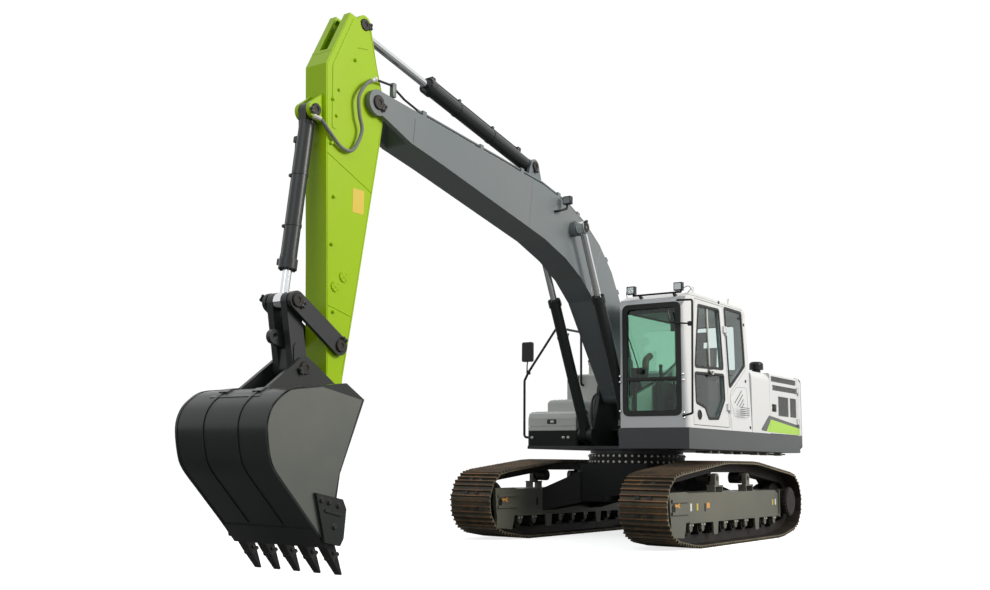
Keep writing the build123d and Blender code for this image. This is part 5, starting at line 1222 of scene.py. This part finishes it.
skin = band("skin", ROLLED, -0.5445, 0.5445, 0.004)
strips = [band("strip", ROLLED[5:42], y - 0.016, y + 0.016, 0.008, 0.004) for y in (-0.205, 0.205)]
edges = [band("edge", ROLLED, side * 0.531 - 0.014, side * 0.531 + 0.014, 0.006, 0.003) for side in (-1, 1)]
lip = band("lip", [(6.494, 0.262), (6.640, 0.415)], -0.54, 0.54, 0.012)
doubler = band("doubler", [(7.060, 1.455), (6.951, 1.517), (6.743, 1.547), (6.560, 1.571)],
               -0.30, 0.30, 0.010)
pads = [band("pad", [(7.000, 1.492), (6.951, 1.517), (6.860, 1.530)], y - 0.05, y + 0.05, 0.012, 0.010)
        for y in (-0.20, 0.20)]
finish_piece(skin, "bucket_back_skin", bucket_enamel, "bucket")
finish_piece([*strips, *edges, lip, doubler, *pads], "bucket_wear_strips",
             bucket_enamel, "bucket")

dusty_side = enamel("dusty_bucket_enamel", "#565A55", "#77776D", 0.42, 0.7, "#6B5A48")
SIDE_PLATE = [(6.115, 1.474), (6.372, 0.850), (6.425, 0.600), (6.470, 0.330), *lifted(ROLLED[2:], -0.010)]
plates = [sheet("side", [SIDE_PLATE], 0.003, 0.001, at(0, side * (BUCKET_SIDE + 0.0008), 0) @ SIDE)
          for side in (1, -1)]
finish_piece(plates, "bucket_side_dust", dusty_side, "bucket")
CUTTER_OUT = 0.577
cutter_bolt = bolt(0.020, 0.018)
cutter_places = [(6.400, 0.590), (6.510, 0.620), (6.600, 0.640), (6.440, 0.420)]
places = [p for x, z in cutter_places for p in both_sides(x, CUTTER_OUT, z)]
finish_piece(copies(cutter_bolt, places), "bucket_cutter_bolts", tooth_steel, "bucket")
ribs = [sheet("rib", [[(6.372, 0.500), (6.560, 0.545), (6.556, 0.565), (6.368, 0.520)]], 0.014, 0.003,
              at(0, side * (CUTTER_OUT + 0.005), 0) @ SIDE) for side in (1, -1)]
finish_piece(ribs, "bucket_cutter_ribs", bucket_enamel, "bucket")

TEETH, TOOTH_PITCH = 5, 0.240
tooth_axis = along((6.466, 0.330), (6.256, 0.030))
collar = cushion_block("collar", (-0.046, -0.050, 0.175), (0.046, 0.050, 0.205), 0.004, 1)
pin_head = turned("pin", [(0.014, 0.0), (0.014, 0.008), (0.009, 0.010)],
                  at(0, 0.048, 0.150) @ turn(-90, "X"), 12)
collars = copies(gather("collar", [collar, pin_head]),
                 [at(0, (index - 2) * TOOTH_PITCH, 0) @ tooth_axis for index in range(TEETH)])
finish_piece(collars, "tooth_collars", tooth_steel, "bucket")
print("bucket: strips, doubler, side plates, cutters,", TEETH, "collars")

# %% [markdown]
# ## Hoses
# Steel pipes carry oil along the boom, and hoses bridge the joints. A hose is a smooth line through a
# few points, swept with a round section, with a crimped fitting at each end. A hose that crosses a
# joint is carried by no body, while its end fittings follow the two bodies.

# %% Hoses
def hose(name, points, radius):
    """Round hose through the points, and the crimped fittings at its two ends."""
    line = smooth_line(points, 8)
    body = swept(name, line, radius, 2)
    rings = [(radius * share, height) for share, height in
             ((1.5, -0.012), (1.5, 0.014), (1.25, 0.018), (1.25, 0.060), (1.1, 0.064))]
    crimps = []
    for tip, inner in ((line[0], line[2]), (line[-1], line[-3])):
        run = Vector(inner) - Vector(tip)
        place = Matrix.Translation(tip) @ run.to_track_quat("Z", "Y").to_matrix().to_4x4()
        crimps.append(turned("crimp", rings, place, 8))
    return body, crimps


hose_rubber = moulded("wire_braided_hose_rubber", "#353838", 0.45, "#4C4D49", 0.003, 0.0003)
grey_sleeve = moulded("grey_hose_sleeve", "#6E7270", 0.6, "#85887F", 0.004, 0.0006)

# Boom pipe end to the bucket cylinder's foot, over the arm's pin.
lead = tube("lead", [(4.985, 0.152, 4.462), (5.20, 0.158, 4.510), (5.42, 0.172, 4.590),
                     (5.66, 0.176, 4.575)], 0.012, 0.08)
finish_piece(lead, "boom_tip_pipe", charcoal_enamel, "boom")
tip_clamp = cushion_block("clamp", (5.370, 0.150, 4.470), (5.420, 0.200, 4.615), 0.006)
finish_piece(tip_clamp, "boom_tip_clamp", graphite_enamel, "boom")
LOOP = [(5.66, 0.176, 4.575), (5.80, 0.186, 4.480), (5.890, 0.186, 4.330), (5.875, 0.184, 4.166),
        (5.830, 0.180, 4.010), (5.930, 0.170, 3.810), (6.070, 0.162, 3.795), (6.230, 0.158, 3.900),
        (6.330, 0.150, 3.985), (6.392, 0.120, 4.010)]
loop, crimps = hose("loop", LOOP, 0.017)
finish_piece(crimps[1], "arm_hose_fittings", zinc_steel, "arm")
finish_piece(crimps[0], "boom_hose_fitting", zinc_steel, "boom")
finish_piece(loop, "arm_hose", grey_sleeve, "arm")
loosen(loop)
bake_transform(loop)

# From the boom's lower pipe ends down to the upper structure.
for index, y in enumerate((0.152, 0.112, -0.112, -0.152)):
    drop, crimps = hose("drop", [(0.431, y, 2.299), (0.355, y, 2.120), (0.235, y * 1.05, 1.900),
                                 (0.170, y * 1.1, 1.700), (0.160, y * 1.1, 1.480)], 0.017)
    finish_piece(crimps[0], f"boom_foot_fitting_{index}", zinc_steel, "boom")
    finish_piece(crimps[1], f"platform_fitting_{index}", zinc_steel, "upper")
    finish_piece(drop, f"boom_foot_hose_{index}", hose_rubber, "upper")
    loosen(drop)
    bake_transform(drop)

# Hoses of the boom cylinders, beside the boom's foot.
bundle, fittings = [], []
for y in (-0.345, -0.300, -0.255, 0.265, 0.310, 0.355):
    bulge = y + math.copysign(0.03, y)
    body, crimps = hose("bundle", [(0.560, y, 1.400), (0.565, bulge, 1.640), (0.500, bulge, 1.840),
                                   (0.330, y, 1.900), (0.210, y, 1.720), (0.190, y, 1.480)], 0.018)
    bundle.append(body)
    fittings += crimps
finish_piece(bundle, "cylinder_hoses", hose_rubber, "upper")
finish_piece(fittings, "cylinder_hose_fittings", zinc_steel, "upper")
valves = [cushion_block("valve", (0.130, low, 1.190), (0.600, low + 0.150, 1.400), 0.012)
          for low in (0.245, -0.395)]
finish_piece(valves, "valve_blocks", cast_iron, "upper")
service = [tube("service", [(-2.30, y, z), (0.40, y, z), (0.52, y - 0.06, z)], radius, 0.06, 2)
           for y, z, radius in ((1.215, 1.122, 0.010), (1.160, 1.118, 0.014))]
grip_block = cushion_block("grip", (-0.020, 1.130, 1.100), (0.020, 1.240, 1.140), 0.006)
clamps = copies(grip_block, [at(x, 0, 0) for x in (-2.1, -1.55, -1.2, -0.62, -0.3, 0.12, 0.36)])
finish_piece(service, "service_pipes", hose_rubber, "upper")
finish_piece(clamps, "service_pipe_clamps", zinc_steel, "upper")
print("hoses: arm loop, four at the boom's foot,", len(bundle), "at the cylinders")

# %% [markdown]
# ## Boom details
# The boom's side plates are butt welded in lengths, so ground seams cross them. A work lamp stands
# off the left side on a short arm. Every lamp gets a lens and a rim, and the cab's lamps a cable.

# %% Boom details
BOOM_SIDE = 0.190
SEAMS = [((5.060, 4.345), (5.085, 4.095)), ((2.900, 4.190), (2.960, 3.650)),
         ((1.330, 3.640), (1.560, 3.070))]
beads = [tube("bead", [(a[0], y, a[1]), (b[0], y, b[1])], 0.004, 0.02, 1)
         for a, b in SEAMS for y in (BOOM_SIDE, -BOOM_SIDE)]
finish_piece(beads, "boom_welds", graphite_enamel, "boom")
lamp_bar = tube("bar", [(2.420, BOOM_SIDE - 0.004, 3.930), (2.400, 0.250, 3.935),
                        (2.300, 0.290, 3.975), (2.285, 0.290, 4.040)], 0.014, 0.03)
head = cushion_block("head", (2.250, 0.235, 4.030), (2.310, 0.345, 4.130), 0.008)
finish_piece([lamp_bar, head], "boom_lamp", black_rail_paint, "boom")
EYE_RINGS = [(0.080, 0.0), (0.080, 0.006), (0.074, 0.010), (0.020, 0.010), (0.014, 0.016), (0.004, 0.017)]
eye_caps = copies(turned("cap", EYE_RINGS, sides=36), both_sides(1.990, 0.369, 3.795))
finish_piece(eye_caps, "boom_eye_caps", graphite_enamel, "boom_rods")
lamp_lens = plate("lens", (-0.046, 0.046, -0.041, 0.041), 0.008, 0.004, steps=2)
rim = sheet("rim", [rounded(box_points(-0.053, 0.053, -0.048, 0.048), 0.012, steps=2),
                    rounded(box_points(-0.044, 0.044, -0.039, 0.039), 0.008, steps=2)], 0.010, 0.002)
LAMPS = [("upper", 1.246, 0.580, 3.104), ("upper", 1.246, 1.224, 3.104), ("boom", 2.311, 0.290, 4.080)]
lens_glass = plain_metal("lamp_reflector_glass", "#AEB4B6", 0.10, 0.22)
for index, (body, x, y, z) in enumerate(LAMPS):
    place = at(x, y, z) @ FRONT
    finish_piece(duplicate(lamp_lens), f"lamp_lens_{index}", lens_glass, body, place)
    finish_piece(duplicate(rim), f"lamp_rim_{index}", black_rail_paint, body, place)
for pattern in (lamp_lens, rim):
    bpy.data.objects.remove(pattern)
leads = [tube("lead", [(1.186, y + 0.04, 3.085), (1.150, y + side * 0.10, 3.120),
                       (1.120, y + side * 0.125, 3.080), (1.160, y + side * 0.09, 3.030)], 0.0045, 0.05, 2)
         for y, side in ((0.580, -1), (1.224, 1))]
finish_piece(leads, "lamp_leads", black_rubber, "upper")
print("boom: welds, lamp, eye caps;", len(LAMPS), "lenses and rims,", len(leads), "leads")

# %% [markdown]
# ## Mirror arm, wiper and sun blind
# A bent black tube by the left front pillar carries the inside mirror's arm in front of the glass. The
# wiper parks upright on the far side, and a dark blind hangs behind the top of the windscreen.

# %% Windscreen pieces
mirror_arm = tube("arm", [(1.302, 1.410, 2.630), (1.330, 1.250, 2.640), (1.330, 1.160, 2.660),
                          (1.330, 1.130, 2.800)], 0.010)
knuckle = cushion_block("knuckle", (1.295, 1.385, 2.600), (1.335, 1.430, 2.655), 0.008)
finish_piece([mirror_arm, knuckle], "mirror_arm", black_rail_paint, "upper")
wiper = [tube("wiper", [(1.292, 0.720, 2.080), (1.305, 0.660, 2.280), (1.300, 0.530, 2.640)],
              0.007, 0.04, 2),
         cushion_block("blade", (1.284, 0.562, 2.260), (1.296, 0.574, 2.760), 0.003, 1),
         cushion_block("motor", (1.276, 0.690, 2.050), (1.305, 0.750, 2.110), 0.008)]
finish_piece(wiper, "wiper", black_rubber, "upper")
blind = [cushion_block("blind", (1.205, 0.500, 2.800), (1.213, 1.250, 2.895), 0.003, 1),
         cushion_block("blind", (1.205, 1.105, 2.560), (1.213, 1.250, 2.800), 0.003, 1)]
finish_piece(blind, "sun_blind", cab_plastic, "upper")
mirror_low, mirror_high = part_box("mirrors")
glass = plate("glass", (mirror_low[1] + 0.012, mirror_high[1] - 0.012, 2.366, mirror_high[2] - 0.014),
              0.02, 0.003, 0.001, at(mirror_low[0] + 0.001, 0, 0) @ FRONT)
finish_piece(glass, "mirror_glass", hard_chrome, "upper")
print("windscreen: mirror arm, wiper, blind")

# %% [markdown]
# ## Seat
# The operator sits on a sprung seat: a moulded base, a padded cushion, a padded back with a headrest,
# and a console on each side with an armrest and a joystick in a rubber boot. Foam pads are made as
# they swell: a block a little smaller than the pad is remeshed, blown up as cloth by about two
# centimetres at most, and subdivided once.

# %% Seat
SEAT_Y, FLOOR = 0.890, 1.458
SWELL_FRAMES = 20


def swell(block, cap):
    """Blows a block up as cloth, and keeps every vertex within `cap` of where it was."""
    before = [v.co.copy() for v in block.data.vertices]
    cloth = block.modifiers.new("swell", "CLOTH")
    cloth.settings.use_pressure = True
    cloth.settings.uniform_pressure_force = 4.0
    cloth.settings.effector_weights.gravity = 0.0
    cloth.point_cache.frame_start, cloth.point_cache.frame_end = 1, SWELL_FRAMES
    for step in range(1, SWELL_FRAMES + 1):
        bpy.context.scene.frame_set(step)
    swollen = block.evaluated_get(bpy.context.evaluated_depsgraph_get())
    after = [v.co.copy() for v in swollen.to_mesh().vertices]
    swollen.to_mesh_clear()
    block.modifiers.remove(cloth)
    for vertex, old, new in zip(block.data.vertices, before, after):
        move = new - old
        vertex.co = old + move * min(1.0, cap / move.length) if move.length > 0 else old
    bpy.context.scene.frame_set(1)


def pad(name, low, high, edge, tilt, cap, voxel):
    """Foam pad: a bevelled block, remeshed, swollen by at most `cap`, and subdivided once."""
    block = cushion_block(name, low, high, edge, 3)
    block.data.transform(tilt)
    pick(block)
    apply_modifier(block, "REMESH", mode="VOXEL", voxel_size=voxel)
    swell(block, cap)
    apply_modifier(block, "SUBSURF", levels=1, render_levels=1)
    return block


BACK_TILT = at(-0.06, 0, 1.90) @ turn(-6, "Y") @ at(0.06, 0, -1.90)
UPRIGHT = Matrix()
BIG, SMALL = (0.022, 0.009), (0.008, 0.006)     # how far a pad swells, and its voxels
PADS = [("seat_cushion", (-0.090, -0.225, 1.815), (0.385, 0.225, 1.905), 0.035, UPRIGHT, BIG),
        ("seat_back_pad", (-0.075, -0.215, 1.930), (0.000, 0.215, 2.480), 0.035, BACK_TILT, BIG),
        ("seat_headrest", (-0.070, -0.120, 2.560), (-0.010, 0.120, 2.700), 0.025, BACK_TILT, BIG),
        ("armrest_left", (-0.080, 0.285, 2.060), (0.220, 0.350, 2.095), 0.015, UPRIGHT, SMALL),
        ("armrest_right", (-0.080, -0.350, 2.060), (0.220, -0.285, 2.095), 0.015, UPRIGHT, SMALL)]


def by_seat(point):
    """A point given from the seat's middle plane."""
    return point[0], SEAT_Y + point[1], point[2]


for name, low, high, edge, tilt, (cap, voxel) in PADS:
    piece = pad(name, by_seat(low), by_seat(high), edge, tilt, cap, voxel)
    finish_piece(piece, name, seat_cloth, "upper", angle=180)
CONSOLE_Y = 0.320
SHELL = [((-0.100, -0.200, FLOOR + 0.002), (0.330, 0.200, 1.700), 0.020, UPRIGHT),
         ((-0.120, -0.235, 1.700), (0.400, 0.235, 1.790), 0.025, UPRIGHT),
         ((-0.055, -0.060, 2.460), (-0.030, 0.060, 2.600), 0.008, BACK_TILT),
         ((-0.125, -0.220, 1.780), (-0.100, 0.220, 2.500), 0.010, BACK_TILT)]
shell = []
for low, high, edge, tilt in SHELL:
    shell.append(cushion_block("shell", by_seat(low), by_seat(high), edge))
    shell[-1].data.transform(tilt)
for middle in (-CONSOLE_Y, CONSOLE_Y):
    shell.append(cushion_block("console", by_seat((-0.100, middle - 0.058, FLOOR + 0.002)),
                               by_seat((0.470, middle + 0.058, 2.010)), 0.025, 3))
BOOT_RINGS = [(0.045, 0.0), (0.045, 0.006), (0.036, 0.018), (0.040, 0.026), (0.028, 0.040),
              (0.030, 0.046), (0.016, 0.060), (0.012, 0.110)]
GRIP_RINGS = [(0.012, 0.100), (0.022, 0.110), (0.024, 0.150), (0.020, 0.185), (0.026, 0.215),
              (0.022, 0.232), (0.008, 0.238)]
stick = gather("stick", [turned("boot", BOOT_RINGS), turned("grip", GRIP_RINGS)])
sticks = copies(stick, [at(0.400, SEAT_Y + side * CONSOLE_Y, 2.008) for side in (-1, 1)])
seat_shell = gather("seat_shell", [*shell, sticks])
finish_piece(seat_shell, "seat_shell", cab_plastic, "upper")
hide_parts("operator_seat")
print("seat:", len(PADS), "pads, shell, consoles, joysticks")
